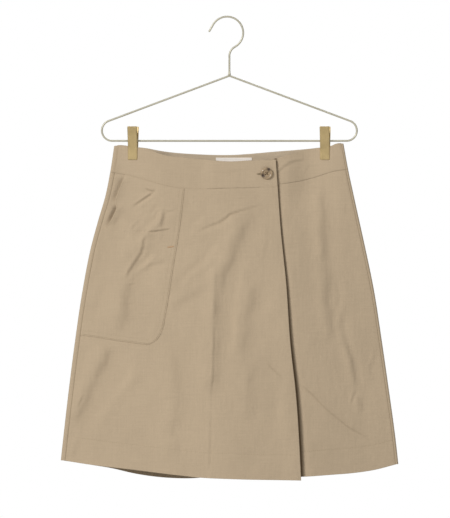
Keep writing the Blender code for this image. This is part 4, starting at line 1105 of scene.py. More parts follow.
# ---- skirt --------------------------------------------------------------------------------------
@dataclass
class Skirt:
    """Three panels and a patch pocket."""

    finishes: Wardrobe
    wall: float = 0.5
    pitch: float = 0.8              # between the layers of a turned hem
    hem_width: float = 40.0
    facing_width: float = 24.0
    tuck: float = 5.0
    tuck_depth: float = 1.1
    lap: float = 1.7                # of the upper front panel over the lower one
    lap_ramp: tuple[float, float] = (-7.0, -0.5)
    soft_ramp: tuple[float, float] = (-60.0, 0.0)
    lap_sharpens: tuple[float, float] = (430.0, 500.0)
    free_edge_lift: float = 3.8
    free_edge_reach: float = 24.0
    free_edge_drops: tuple[float, float] = (255.0, 640.0)
    band_rise: float = 0.95         # of the upper panel towards the band over it
    seam_dip: float = 0.3
    seam_reach: float = 1.3
    under_tuck: float = 1.8         # of the lower panel at its side seam
    under_tuck_share: float = 0.4   # of the full tuck's depth
    pocket_out: float = 0.68
    pocket_wall: float = 0.5
    pocket_rim: float = 0.2

    def layers(self, down: Array, across: Array, in_hem: Array) -> Array:
        """How many layers a place lies inside: the hem turns first, then the free edge over it."""
        return down + across * (1 + 2 * in_hem * (1 - down))

    def lap_height(self, x: Array, drop: Array) -> Array:
        """Height of the upper panel over the lower: it steps up over the hidden edge, its free edge
        stands off by a bell of the distance that grows down the skirt, and it meets the band."""
        past = x - UNDER_EDGE(drop)
        sharp = ease(*self.lap_sharpens, drop)
        step = sharp * ease(*self.lap_ramp, past) + (1 - sharp) * ease(*self.soft_ramp, past)
        step = step * (0.62 + 0.38 * ease(-40.0, 30.0, past))
        hidden_start = 0.62 * ease(-70.0, -8.0, past)
        grows = 0.2 + 0.8 * ease(*self.free_edge_drops, drop)
        lift = self.free_edge_lift * bell(WRAP_EDGE(drop) - x, self.free_edge_reach) * grows
        meet = self.band_rise * bell(drop - WAIST_SEAM_OVER(x), 13.0) * ease(-30.0, -3.0, past)
        return self.lap * np.maximum(step, hidden_start) + lift + meet

    def under_hollow(self, x: Array, drop: Array) -> Array:
        """Depth of the hollow in the lower panel beside the free edge, deeper down the skirt."""
        grows = ease(330.0, 640.0, drop)
        depth = 0.9 + 0.7 * ease(262.0, 330.0, drop) + 1.2 * grows
        return depth * bell(x - WRAP_EDGE(drop) - 1.0 - 1.5 * grows, 5.0 + 2.0 * grows)

    @staticmethod
    def gapes(drop: Array) -> tuple[Array, Array]:
        """How far the hand opening gapes in its upper and in its lower part, from 0 to 1."""
        return (ease(243.0, 256.0, drop) * (1 - ease(272.0, 291.0, drop)),
                ease(288.0, 298.0, drop) * (1 - ease(310.0, 325.0, drop)))

    def opening_hollow(self, x: Array, drop: Array) -> Array:
        """Depth of the hollow in the panel behind the pocket's two gapes."""
        upper, lower = self.gapes(drop)
        return (1.5 * upper + 2.4 * lower) * bell(x - POCKET_OPENING(drop) + 2.5, 3.2)

    def opening_shade(self, x: Array, drop: Array) -> Array:
        """Darkness in that hollow."""
        upper, lower = self.gapes(drop)
        return np.maximum(0.3 * upper, 0.55 * lower) * bell(x - POCKET_OPENING(drop) + 1.8, 2.4)

    def groove(self, off: Array) -> Array:
        """Depth of the groove along a seam, `off` being the distance from it."""
        return self.seam_dip * bell(off, self.seam_reach)

    def cloth(self) -> Cloth:
        """What the panels are made of."""
        return Cloth(self.finishes.twill, "beige_twill", self.wall)

    def front_grid(self, lines: tuple[Line, Line, Line, Line], across: Lane, turned: Array,
                   tucked: Array) -> tuple[Array, Array, Array]:
        """A front panel's grid, tucked in at the waist and turned up at the hem.

        Args:
            lines: Left, right, waist and hem lines.
            across: Its columns.
            turned: How far each column is turned in at the free edge.
            tucked: How far each column is tucked in at the side seam.

        Returns:
            x, drop and the distance outside the tube, without laps and hollows.
        """
        down = Lane.between(180, Edge(Finish.TUCKED, self.tuck), Edge(Finish.TURNED, self.hem_width))
        x, drop = cross(lines, across, down)
        hem_top = lines[3](x) - self.hem_width
        in_hem = ease(hem_top - 6, hem_top + 2, drop)
        out = -self.wall / 2 - self.pitch * self.layers(down.past_end()[:, None], turned, in_hem)
        out = out - self.tuck_depth * np.maximum(down.past_start()[:, None], tucked)
        return x, drop, out - self.groove(drop - lines[2](x)) - self.hem_dip(x, drop, lines[3])

    def over_panel(self) -> None:
        """The lapped front panel."""
        across = Lane.between(205, Edge(Finish.TUCKED, self.tuck),
                              Edge(Finish.TURNED, self.facing_width), ends=1.0)
        x, drop, out = self.front_grid((TUBE.left_seam, WRAP_EDGE, WAIST_SEAM_OVER, HEM_OVER),
                                       across, across.past_end(), across.past_start())
        from_seam = x - TUBE.left_seam(drop)
        out = out + self.lap_height(x, drop) - self.opening_hollow(x, drop) - self.groove(from_seam)
        # Painted shade along the seams and the pocket's edge, in the hand opening's hollow and in
        # sharp creases.
        shade = np.maximum.reduce([
            0.10 * bell(drop - WAIST_SEAM_OVER(x), 0.9), 0.45 * bell(from_seam, 0.6),
            0.2 * bell(x - POCKET_SEAM(drop) - 0.3, 0.6) * (drop < POCKET_BOTTOM(x) + 1),
            self.opening_shade(x, drop), FRONT.shade_at(x, drop)])
        add_sheet("skirt_front_over", FRONT.points(x, drop, out), x, drop, shade, self.cloth(),
                  Cut(("front_over_panel",), (0.36, 0.52), ("waistband_over",), 0.180))

    def hem_dip(self, x: Array, drop: Array, hem: Line) -> Array:
        """Depth of the groove that the hem's stitching pulls into the cloth."""
        return 0.3 * bell(drop - (hem(x) - self.hem_width + 1.5), 1.6)

    def under_panel(self) -> None:
        """The lower front panel, hollowed along the lapped panel's free edge."""
        across = Lane.between(195, Edge(Finish.TURNED, self.facing_width),
                              Edge(Finish.TUCKED, self.under_tuck), ends=0.8)
        x, drop, out = self.front_grid(
            (UNDER_EDGE, TUBE.right_seam, WAIST_SEAM_UNDER, HEM_UNDER), across,
            across.past_start(), self.under_tuck_share * across.past_end())
        from_seam = x - TUBE.right_seam(drop)
        out = out - self.under_hollow(x, drop) - self.groove(from_seam)
        grows = ease(300.0, 600.0, drop)
        # Painted shadow: the lower panel goes nearly black beside the upper panel's free edge.
        free_edge_shadow = (0.75 + 0.2 * grows) * bell(x - WRAP_EDGE(drop) - 1.0 - grows, 2.0 + 0.8 * grows)
        shade = np.maximum.reduce([
            0.18 * bell(drop - WAIST_SEAM_UNDER(x), 0.9), free_edge_shadow,
            0.4 * bell(from_seam, 0.9), FRONT.shade_at(x, drop)])
        add_sheet("skirt_front_under", FRONT.points(x, drop, out), x, drop, shade, self.cloth(),
                  Cut(("front_under_panel",), (0.32, 0.52), ("waistband_under",), 0.150))

    def back_panel(self) -> None:
        """The back panel: short strips round both sides, and the back between them."""
        down = Lane.between(150, Edge(Finish.TUCKED, self.tuck), Edge(Finish.TURNED, self.hem_width))
        turned, tucked = down.past_end()[:, None], down.past_start()[:, None]
        inset = self.wall / 2 + self.pitch * turned + self.tuck_depth * tucked
        points, u = tube_row_points((WAIST_SEAM_BACK, HEM_BACK), down, inset, self.detail_back, 150,
                                    self.tuck)
        drop = -points[..., 2]
        # Painted shade at the seams and on the turned hem's inner layer.
        shade = np.maximum.reduce([
            0.12 * bell(drop - WAIST_SEAM_BACK(points[..., 0]), 0.9),
            0.45 * bell(u - u[:, :1] - self.tuck, 0.6), np.broadcast_to(0.4 * turned, u.shape)])
        add_sheet("skirt_back", points, u, drop, shade, self.cloth(),
                  Cut(("back_panel",), (0.55, 0.52), ("waistband_rear",), 0.265))

    def detail_back(self, x: Array, drop: Array) -> Array:
        """Fine height of the back: its relief, less the grooves of the seam and the hem."""
        return (BACK.relief(x, drop) - self.groove(drop - WAIST_SEAM_BACK(x))
                - self.hem_dip(x, drop, HEM_BACK))

    def pocket_edge_lift(self, x: Array, drop: Array) -> Array:
        """How far the pocket's hand opening stands off at its two gapes."""
        upper, lower = self.gapes(drop)
        return (1.5 * upper + 2.5 * lower) * bell(x - POCKET_OPENING(drop), 8.0)

    def pocket(self) -> None:
        """The patch pocket, with the slanted hand opening at its upper left."""
        down = Lane.between(190, Edge(Finish.TUCKED, self.tuck), Edge(), ends=1.0)
        across = Lane.between(150, Edge(), Edge(), ends=0.5)

        def left(drop: Array) -> Array:
            """The hand opening, and below it the side seam."""
            seam = TUBE.left_seam(drop) + 0.4
            return np.where(drop < 330.0, np.maximum(POCKET_OPENING(drop), seam), seam)

        x, drop = cross((left, POCKET_SEAM, WAIST_SEAM_OVER, POCKET_BOTTOM), across, down)
        rim = np.minimum(np.abs(x - POCKET_SEAM(drop)), np.abs(drop - POCKET_BOTTOM(x)))
        out = self.pocket_out - self.wall / 2 - self.tuck_depth * down.past_start()[:, None]
        out = out + self.lap_height(x, drop) + self.pocket_edge_lift(x, drop)
        out = out - self.groove(drop - WAIST_SEAM_OVER(x)) - self.groove(x - TUBE.left_seam(drop))
        out = out - 0.25 * bell(rim - 1.6, 0.9) - 0.07 * bell(rim - 7.4, 0.9)
        out = out + 0.12 * np.sin(rim * 2.6 + drop * 0.9) * bell(rim - 4.0, 4.0)
        # Painted shade at the waist seam, along the rim and in sharp creases.
        shade = np.maximum.reduce([
            0.12 * bell(drop - WAIST_SEAM_OVER(x), 0.9), 0.15 * bell(rim - 1.6, 0.5),
            FRONT.shade_at(x, drop)])
        add_sheet("pocket", FRONT.points(x, drop, out), x, drop, shade,
                  Cloth(self.finishes.twill, "beige_twill", self.pocket_wall, self.pocket_rim),
                  Cut(("pocket_patch",), (0.165, 0.265), ("skirt_front_over",), 0.034))

    def build(self) -> None:
        """All pieces of the skirt."""
        self.over_panel()
        self.under_panel()
        self.back_panel()
        self.pocket()


def tube_row_points(lines: tuple[Line, Line], down: Lane, inset: Array,
                    detail: Callable[[Array, Array], Array], count: int,
                    tuck: float) -> tuple[Array, Array]:
    """Rows that run from the left seam round the left side, across the back, to the right seam.

    Each side is half an ellipse: x = middle + radius sin(turn), y = middle - depth cos(turn), with
    the turn from 0 at the front to 180 degrees at the back.

    Args:
        lines: Top and bottom edge lines.
        down: Rows.
        inset: Of each row inside the tube's face.
        detail: Fine height of the back.
        count: Columns across the back.
        tuck: Width tucked in at both seams.

    Returns:
        The points, and each point's distance along its row.
    """
    top, bottom = lines
    strips = []

    def rows_at(left: Line, right: Line, across: Lane) -> tuple[Array, Array]:
        """x and drop of one strip."""
        return cross((left, right, top, bottom), across, down)

    def strip(share: Array, offset: Array) -> Lane:
        """A lane without turned ends."""
        return Lane(share, offset, np.zeros(share.size))

    front_left = strip(np.concatenate([np.zeros(3), np.linspace(0, 1, 6)[:-1]]),
                       np.concatenate([[tuck, 1.5, 0.5], np.zeros(5)]))
    x, drop = rows_at(TUBE.left_seam, lambda d: TUBE.turn_x(-1, d), front_left)
    hidden = np.array([1.0, 0.7, 0.25] + [0.0] * 5)
    dip = 0.35 * bell(x - TUBE.left_seam(drop), 1.2)
    y = FRONT.y(x, drop, -inset - 1.1 * hidden - dip)
    strips.append(np.stack([x, y, -drop], axis=-1))
    for side in (-1, 1):
        turn = np.radians(np.linspace(0.0, 180.0, 13))
        turn = turn if side < 0 else turn[::-1]
        flat = strip(np.zeros(turn.size), np.zeros(turn.size))
        x, drop = rows_at(lambda d: TUBE.turn_x(side, d), lambda d: TUBE.turn_x(side, d) + 1.0, flat)
        radius = TUBE.value("end_radius", drop) - inset
        front = FRONT.y(x, drop, -inset)
        back = TUBE.y(Face.BACK, x, drop, -inset + detail(x, drop))
        middle, depth = (front + back) / 2, (back - front) / 2
        arc = np.stack([x + side * radius * np.sin(turn), middle - depth * np.cos(turn), -drop], -1)
        if side < 0:
            strips.append(arc)
            x, drop = rows_at(lambda d: TUBE.turn_x(-1, d), lambda d: TUBE.turn_x(1, d),
                              strip(np.linspace(0, 1, count + 1)[1:-1], np.zeros(count - 1)))
            y = TUBE.y(Face.BACK, x, drop, -inset + detail(x, drop))
            strips.append(np.stack([x, y, -drop], axis=-1))
        else:
            strips.append(arc)
    end = strip(np.zeros(2), np.array([-0.4, -1.6]))
    x, drop = rows_at(lambda d: TUBE.right_seam(d) + 0.6, lambda d: TUBE.right_seam(d) + 1.6, end)
    y = FRONT.y(x, drop, -inset - np.array([0.5, 1.0]))
    strips.append(np.stack([x, y, -drop], axis=-1))
    points = np.concatenate(strips, axis=1)
    steps = np.linalg.norm(np.diff(points, axis=1), axis=-1)
    along = np.concatenate([np.zeros((points.shape[0], 1)), np.cumsum(steps, axis=1)], axis=1)
    return points, along


# ---- waistband ----------------------------------------------------------------------------------
@dataclass
class Waistband:
    """The folded band in three pieces, with the buttonhole in the upper one."""

    finishes: Wardrobe
    wall: float = 0.6
    pitch: float = 1.5              # between the outer and the inner layer
    lap: float = 2.75
    lap_ramp: tuple[float, float] = (-30.0, -3.0)
    end_lift: float = 0.5
    end_hollow: float = 0.8
    rows: int = 40
    lip: float = 0.5                # of the outer layer past the seam
    end_turn: float = 6.0
    inner_v: float = 60.0           # how far down the cloth's map the inner layer begins
    clips: tuple[str, str] = ("clip_left_back", "clip_right_back")

    def down_lane(self) -> Lane:
        """Rows from the inner lower edge up over the folded top and down the outer layer."""
        turn = np.radians(np.linspace(0.0, 180.0, 9))[1:-1]
        radius = self.pitch / 2
        inner = np.linspace(1.0, 0.0, self.rows + 1)
        outer = np.linspace(0.0, 1.0, self.rows + 1)
        share = np.concatenate([inner, np.zeros(turn.size), outer])
        offset = np.concatenate([np.zeros(inner.size), -radius * np.sin(turn),
                                 np.zeros(outer.size)])
        offset = offset + np.concatenate([radius * (1 - inner), np.full(turn.size, radius),
                                          radius * (1 - outer) + self.lip * outer])
        layer = np.concatenate([np.ones(inner.size), (1 + np.cos(turn)) / 2, np.zeros(outer.size)])
        return Lane(share, offset, layer)

    def across_lane(self, count: int, start: float, end: float) -> Lane:
        """Columns; start and end are the widths turned in between the two layers."""
        lane = Lane.plain(count, np.array([0.0, 0.3, 0.8, 1.6]))
        for width, at_end in ((start, False), (end, True)):
            if width > 0:
                lane = lane.lengthened(at_end, np.array([0.25, 0.3, 0.0, -width]),
                                       np.array([0.35, 0.7, 1.0, 1.0]))
        return lane

    def inset(self, down: Lane, across: Lane) -> Array:
        """Depth inside the tube's face: the outer layer, the inner one, and ends turned between."""
        flat = down.layer[:, None] + (0.5 - down.layer[:, None]) * 0.62 * across.layer
        return self.wall / 2 + self.pitch * flat

    def lap_height(self, x: Array, drop: Array) -> Array:
        """Height of the upper band over the lower one: it starts where the lower one does, and its
        end stands off a little."""
        return (self.lap * ease(*self.lap_ramp, x - UNDER_EDGE(drop))
                + self.end_lift * bell(WRAP_EDGE(drop) - x, 5.0))

    def puff(self, drop: Array, top: Array, seam: Array) -> Array:
        """The band's gentle roundness: highest at its middle, and pulled in at the seam."""
        share = np.clip((drop - top) / (seam - top), 0.0, 1.0)
        return 0.35 * np.sin(math.pi * share) ** 0.7 - 0.2 * bell(drop - seam, 1.4)

    def cloth(self) -> Cloth:
        """What the band is made of."""
        return Cloth(self.finishes.twill, "beige_twill", self.wall)

    def front_piece(self, name: str, lines: tuple[Line, Line, Line, Line], across: Lane,
                    lapped: bool, cut: Cut) -> None:
        """One of the two front bands.

        Args:
            name: The piece's name.
            lines: Left, right, top and seam lines.
            across: Its columns.
            lapped: True for the upper band.
            cut: The CAD nodes it stands for, with its flat size and what carries it.
        """
        down = self.down_lane()
        x, drop = cross(lines, across, down)
        inset = self.inset(down, across)
        out = -inset + self.puff(drop, lines[2](x), lines[3](x)) * (1 - down.layer[:, None])
        if lapped:
            out = out + self.lap_height(x, drop) - self.button_pull(x, drop)
        else:
            out = out - self.end_hollow * bell(x - WRAP_EDGE(drop) - 2.5, 5.0)
        # Painted shade: a dark line along the seam, in the buttonhole's slot and beside the upper
        # band's free end.
        shade = (0.1 if lapped else 0.22) * bell(drop - lines[3](x) - 0.3, 0.8)
        dark = 0.65 * self.slot(x, drop) if lapped else 0.75 * bell(x - WRAP_EDGE(drop) - 0.6, 1.8)
        add_sheet(name, FRONT.points(x, drop, out), x, drop + self.inner_v * down.layer[:, None],
                  np.maximum(shade, dark), self.cloth(), cut)

    @staticmethod
    def slot(x: Array, drop: Array) -> Array:
        """One along the buttonhole's slot and zero beside it."""
        low, high = (BUTTON_AT[0] + SLOT_MIDDLE[0] + side * SLOT_HALF for side in (-1, 1))
        return bell(drop - BUTTON_AT[1] - SLOT_MIDDLE[1], 1.0) * ease(low - 0.5, low + 3, x) * (
            1 - ease(high - 1, high + 0.5, x))

    def button_pull(self, x: Array, drop: Array) -> Array:
        """Depth of the dent round the button and along its buttonhole."""
        dent = 0.5 * bell(np.hypot(x - BUTTON_AT[0], drop - BUTTON_AT[1]), 11.0)
        return dent + 0.7 * self.slot(x, drop)

    def rear_piece(self) -> None:
        """The back band, which runs round both sides to the side seams."""
        down = self.down_lane()
        inset = self.wall / 2 + self.pitch * down.layer[:, None]
        points, u = tube_row_points((WAIST_EDGE_BACK, WAIST_SEAM_BACK), down, inset,
                                    self.rear_detail, 92, 2.0)
        drop = -points[..., 2]
        # Painted shade along the seam.
        shade = 0.25 * bell(drop - WAIST_SEAM_BACK(points[..., 0]) - 0.3, 0.8)
        # Painted light: the pale attribute lightens the inner layer, which lies in shade behind the
        # front.
        add_sheet("waistband_rear", points, u, drop + self.inner_v * down.layer[:, None], shade,
                  self.cloth(), Cut(("waistband_back",), (0.40, 0.090), self.clips, 0.034),
                  pale=np.broadcast_to(down.layer[:, None], u.shape))

    def rear_detail(self, x: Array, drop: Array) -> Array:
        """Fine height of the back band."""
        return 0.4 * BACK.relief(x, drop)

    def build(self) -> None:
        """All three pieces."""
        self.front_piece("waistband_over",
                         (TUBE.left_seam, WRAP_EDGE, WAIST_EDGE_FRONT, WAIST_SEAM_OVER),
                         self.across_lane(150, 0.0, self.end_turn), True,
                         Cut(("waistband_front_over",), (0.27, 0.090), self.clips, 0.023))
        self.front_piece("waistband_under",
                         (UNDER_EDGE, TUBE.right_seam, WAIST_EDGE_UNDER, WAIST_SEAM_UNDER),
                         self.across_lane(120, self.end_turn, 0.0), False,
                         Cut(("waistband_front_under",), (0.22, 0.090), self.clips, 0.018))
        self.rear_piece()


# ---- shorts -------------------------------------------------------------------------------------
@dataclass
class Shorts:
    """Four plain inner panels: one tube at the hips that parts into two flat legs."""

    finishes: Wardrobe
    wall: float = 0.4
    pitch: float = 0.6
    hem_width: float = 18.0
    top_inset: float = 2.5
    full_inset: float = 6.6
    side_inset_top: float = 2.8
    side_inset: float = 10.0
    inset_drops: tuple[float, float] = (250.0, 320.0)
    crotch_drop: float = 490.0
    crotch_run: float = 110.0
    hem_drop: float = 614.0
    leg_depth: float = 12.5
    leg_parting: float = 12.0
    middle_gap: float = 0.25
    edge_depth: float = 0.45

    def outer(self, side: int, drop: Array) -> Array:
        """The side seam of a leg."""
        growth = ease(*self.inset_drops, drop)
        inset = self.side_inset_top + (self.side_inset - self.side_inset_top) * growth
        return TUBE.value("shift", drop) + side * (TUBE.value("half_width", drop) - inset)

    def inner(self, side: int, drop: Array) -> Array:
        """The middle seam, and below the crotch the inner leg seam."""
        share = np.clip((drop - self.crotch_drop) / (self.hem_drop - self.crotch_drop), 0.0, 1.0)
        return side * (self.middle_gap + self.leg_parting * share)

    def y(self, face: Face, side: int, x: Array, drop: Array, inside: Array) -> Array:
        """Y of a panel: the tube's depth less an inset, mixed below the hips with a leg's own depth,
        edge + (leg - edge) sin(pi share)."""
        outer, inner = self.outer(side, drop), self.inner(side, drop)
        share = np.clip((x - outer) / (inner - outer), 0.0, 1.0)
        growth = ease(*self.inset_drops, drop)
        inset = self.top_inset + (self.full_inset - self.top_inset) * growth
        tube = np.maximum(TUBE.half_depth(face, x, drop) - inset, self.edge_depth)
        tube = self.edge_depth + (tube - self.edge_depth) * ease(0.0, 0.06, share)
        leg = self.edge_depth + (self.leg_depth - self.edge_depth) * np.sin(math.pi * share)
        parted = ease(self.crotch_drop - self.crotch_run, self.crotch_drop, drop)
        depth = (1 - parted) * tube + parted * np.minimum(leg, tube)
        wave = 0.5 * lattice_noise(x, drop / 2.0, 30.0, 71 + side) * np.sin(math.pi * share)
        shrink = inside * np.clip(np.sin(math.pi * share) * 4, 0.0, 1.0)
        return TUBE.twist(x, drop) + face.value * (depth + wave * parted - shrink)

    def panel(self, face: Face, side: int) -> None:
        """One panel with its turned hem."""
        word = "left" if side < 0 else "right"
        name = f"leg_{face.name.lower()}_{word}"
        front_top = across_line(
            (-183.0, 241.2), (-158.7, 245.5), (-106.0, 260.2), (-78.3, 266.0), (0.0, 266.0),
            (60.0, 263.0), (104.0, 256.0), (161.2, 240.1), (183.0, 236.5))

        def top(x: Array) -> Array:
            """Top edge, just under the waist seam."""
            return front_top(x) if face is Face.FRONT else WAIST_SEAM_BACK(x) + 1.2

        down = Lane.between(52, Edge(), Edge(Finish.TURNED, self.hem_width))
        lines = (lambda d: self.outer(side, d), lambda d: self.inner(side, d))
        lines = lines if side < 0 else lines[::-1]
        across = Lane.between(32, Edge(), Edge())
        x, drop = cross((*lines, top, lambda v: self.hem_drop + 0 * v), across, down)
        hem_line = self.hem_drop - self.hem_width + 1.5
        inside = self.pitch * down.layer[:, None] + 0.25 * bell(drop - hem_line, 1.4)
        points = np.stack([x, self.y(face, side, x, drop, inside), -drop], axis=-1)
        # Painted shade along the hem's stitch line.
        add_sheet(name, points, x, drop, 0.4 * bell(drop - hem_line, 0.8),
                  Cloth(self.finishes.shorts, "shorts_cloth", self.wall),
                  Cut((f"shorts_{face.name.lower()}_{word}",), (0.26, 0.40), ("waistband_rear",),
                      0.085))

    def build(self) -> None:
        """All four panels."""
        for face in Face:
            for side in (-1, 1):
                self.panel(face, side)


# ---- stitches and trim --------------------------------------------------------------------------
@dataclass(frozen=True)
class Stitching:
    """Stitches as short closed tubes that dive into the cloth at both ends."""

    length: float = 2.5
    gap: float = 0.7
    radius: float = 0.21
    lift: float = 0.10

    def strands(self, starts: Array, ends: Array, outward: Array) -> tuple[Array, Array]:
        """A stitch from each start to its end.

        Five rings of six points lie along each. Their radius rises and falls along the stitch, and
        its middle stands a little over the cloth.

        Args:
            starts: First ends, in millimetres.
            ends: Other ends.
            outward: The cloth's outward direction at each stitch.

        Returns:
            Points and quads of all the stitches.
        """
        share = np.array([0.0, 0.16, 0.5, 0.84, 1.0])[:, None]
        swell = np.array([0.25, 0.85, 1.0, 0.85, 0.25]) * self.radius
        lift = np.array([-0.22, self.lift * 0.2, self.lift, self.lift * 0.2, -0.22])[:, None]
        tangent = ends - starts
        tangent = tangent / np.linalg.norm(tangent, axis=-1, keepdims=True)
        side = np.cross(tangent, outward)
        side = side / np.linalg.norm(side, axis=-1, keepdims=True)
        normal = np.cross(side, tangent)
        middle = starts[:, None] + (ends - starts)[:, None] * share + normal[:, None] * lift
        turn = np.linspace(0, 2 * math.pi, 6, endpoint=False)[:, None]
        ring = normal[:, None] * np.sin(turn) + side[:, None] * np.cos(turn)
        points = middle[:, :, None] + ring[:, None] * swell[:, None, None]
        index = np.arange(len(starts) * 30).reshape(-1, 5, 6)
        after = np.roll(index, -1, axis=2)
        quads = np.stack([index[:, :-1], index[:, 1:], after[:, 1:], after[:, :-1]], axis=-1)
        caps = np.concatenate([index[:, 0][:, [0, 1, 2, 3]], index[:, 0][:, [0, 3, 4, 5]],
                               index[:, 4][:, [3, 2, 1, 0]], index[:, 4][:, [5, 4, 3, 0]]])
        return points.reshape(-1, 3), np.concatenate([quads.reshape(-1, 4), caps])

    def row(self, path: Array, outward: Array) -> tuple[Array, Array]:
        """A row of stitches along a path, each its length with a gap to the next.

        Args:
            path: Points in millimetres.
            outward: The cloth's outward direction at each point.

        Returns:
            Points and quads of the row.
        """
        steps = np.linalg.norm(np.diff(path, axis=0), axis=1)
        run = np.concatenate([[0.0], np.cumsum(steps)])
        starts = np.arange(0.6, run[-1] - self.length, self.length + self.gap)

        def at(distance: Array, values: Array) -> Array:
            """Values read along the run."""
            return np.stack([np.interp(distance, run, values[:, k]) for k in range(3)], axis=-1)

        return self.strands(at(starts, path), at(starts + self.length, path),
                            at(starts + self.length / 2, outward))


def joined(parts: Sequence[tuple[Array, Array]]) -> tuple[Array, Array]:
    """Several (points, quads) as one."""
    offsets = np.cumsum([0] + [len(p) for p, _ in parts[:-1]])
    return (np.concatenate([p for p, _ in parts]),
            np.concatenate([q + o for (_, q), o in zip(parts, offsets)]))


def offset_path(x: Array, drop: Array, distance: float) -> tuple[Array, Array]:
    """A flat path moved to its right-hand side, seen with drop downwards."""
    dx, dd = np.gradient(x), np.gradient(drop)
    length = np.hypot(dx, dd)
    return x - dd / length * distance, drop + dx / length * distance


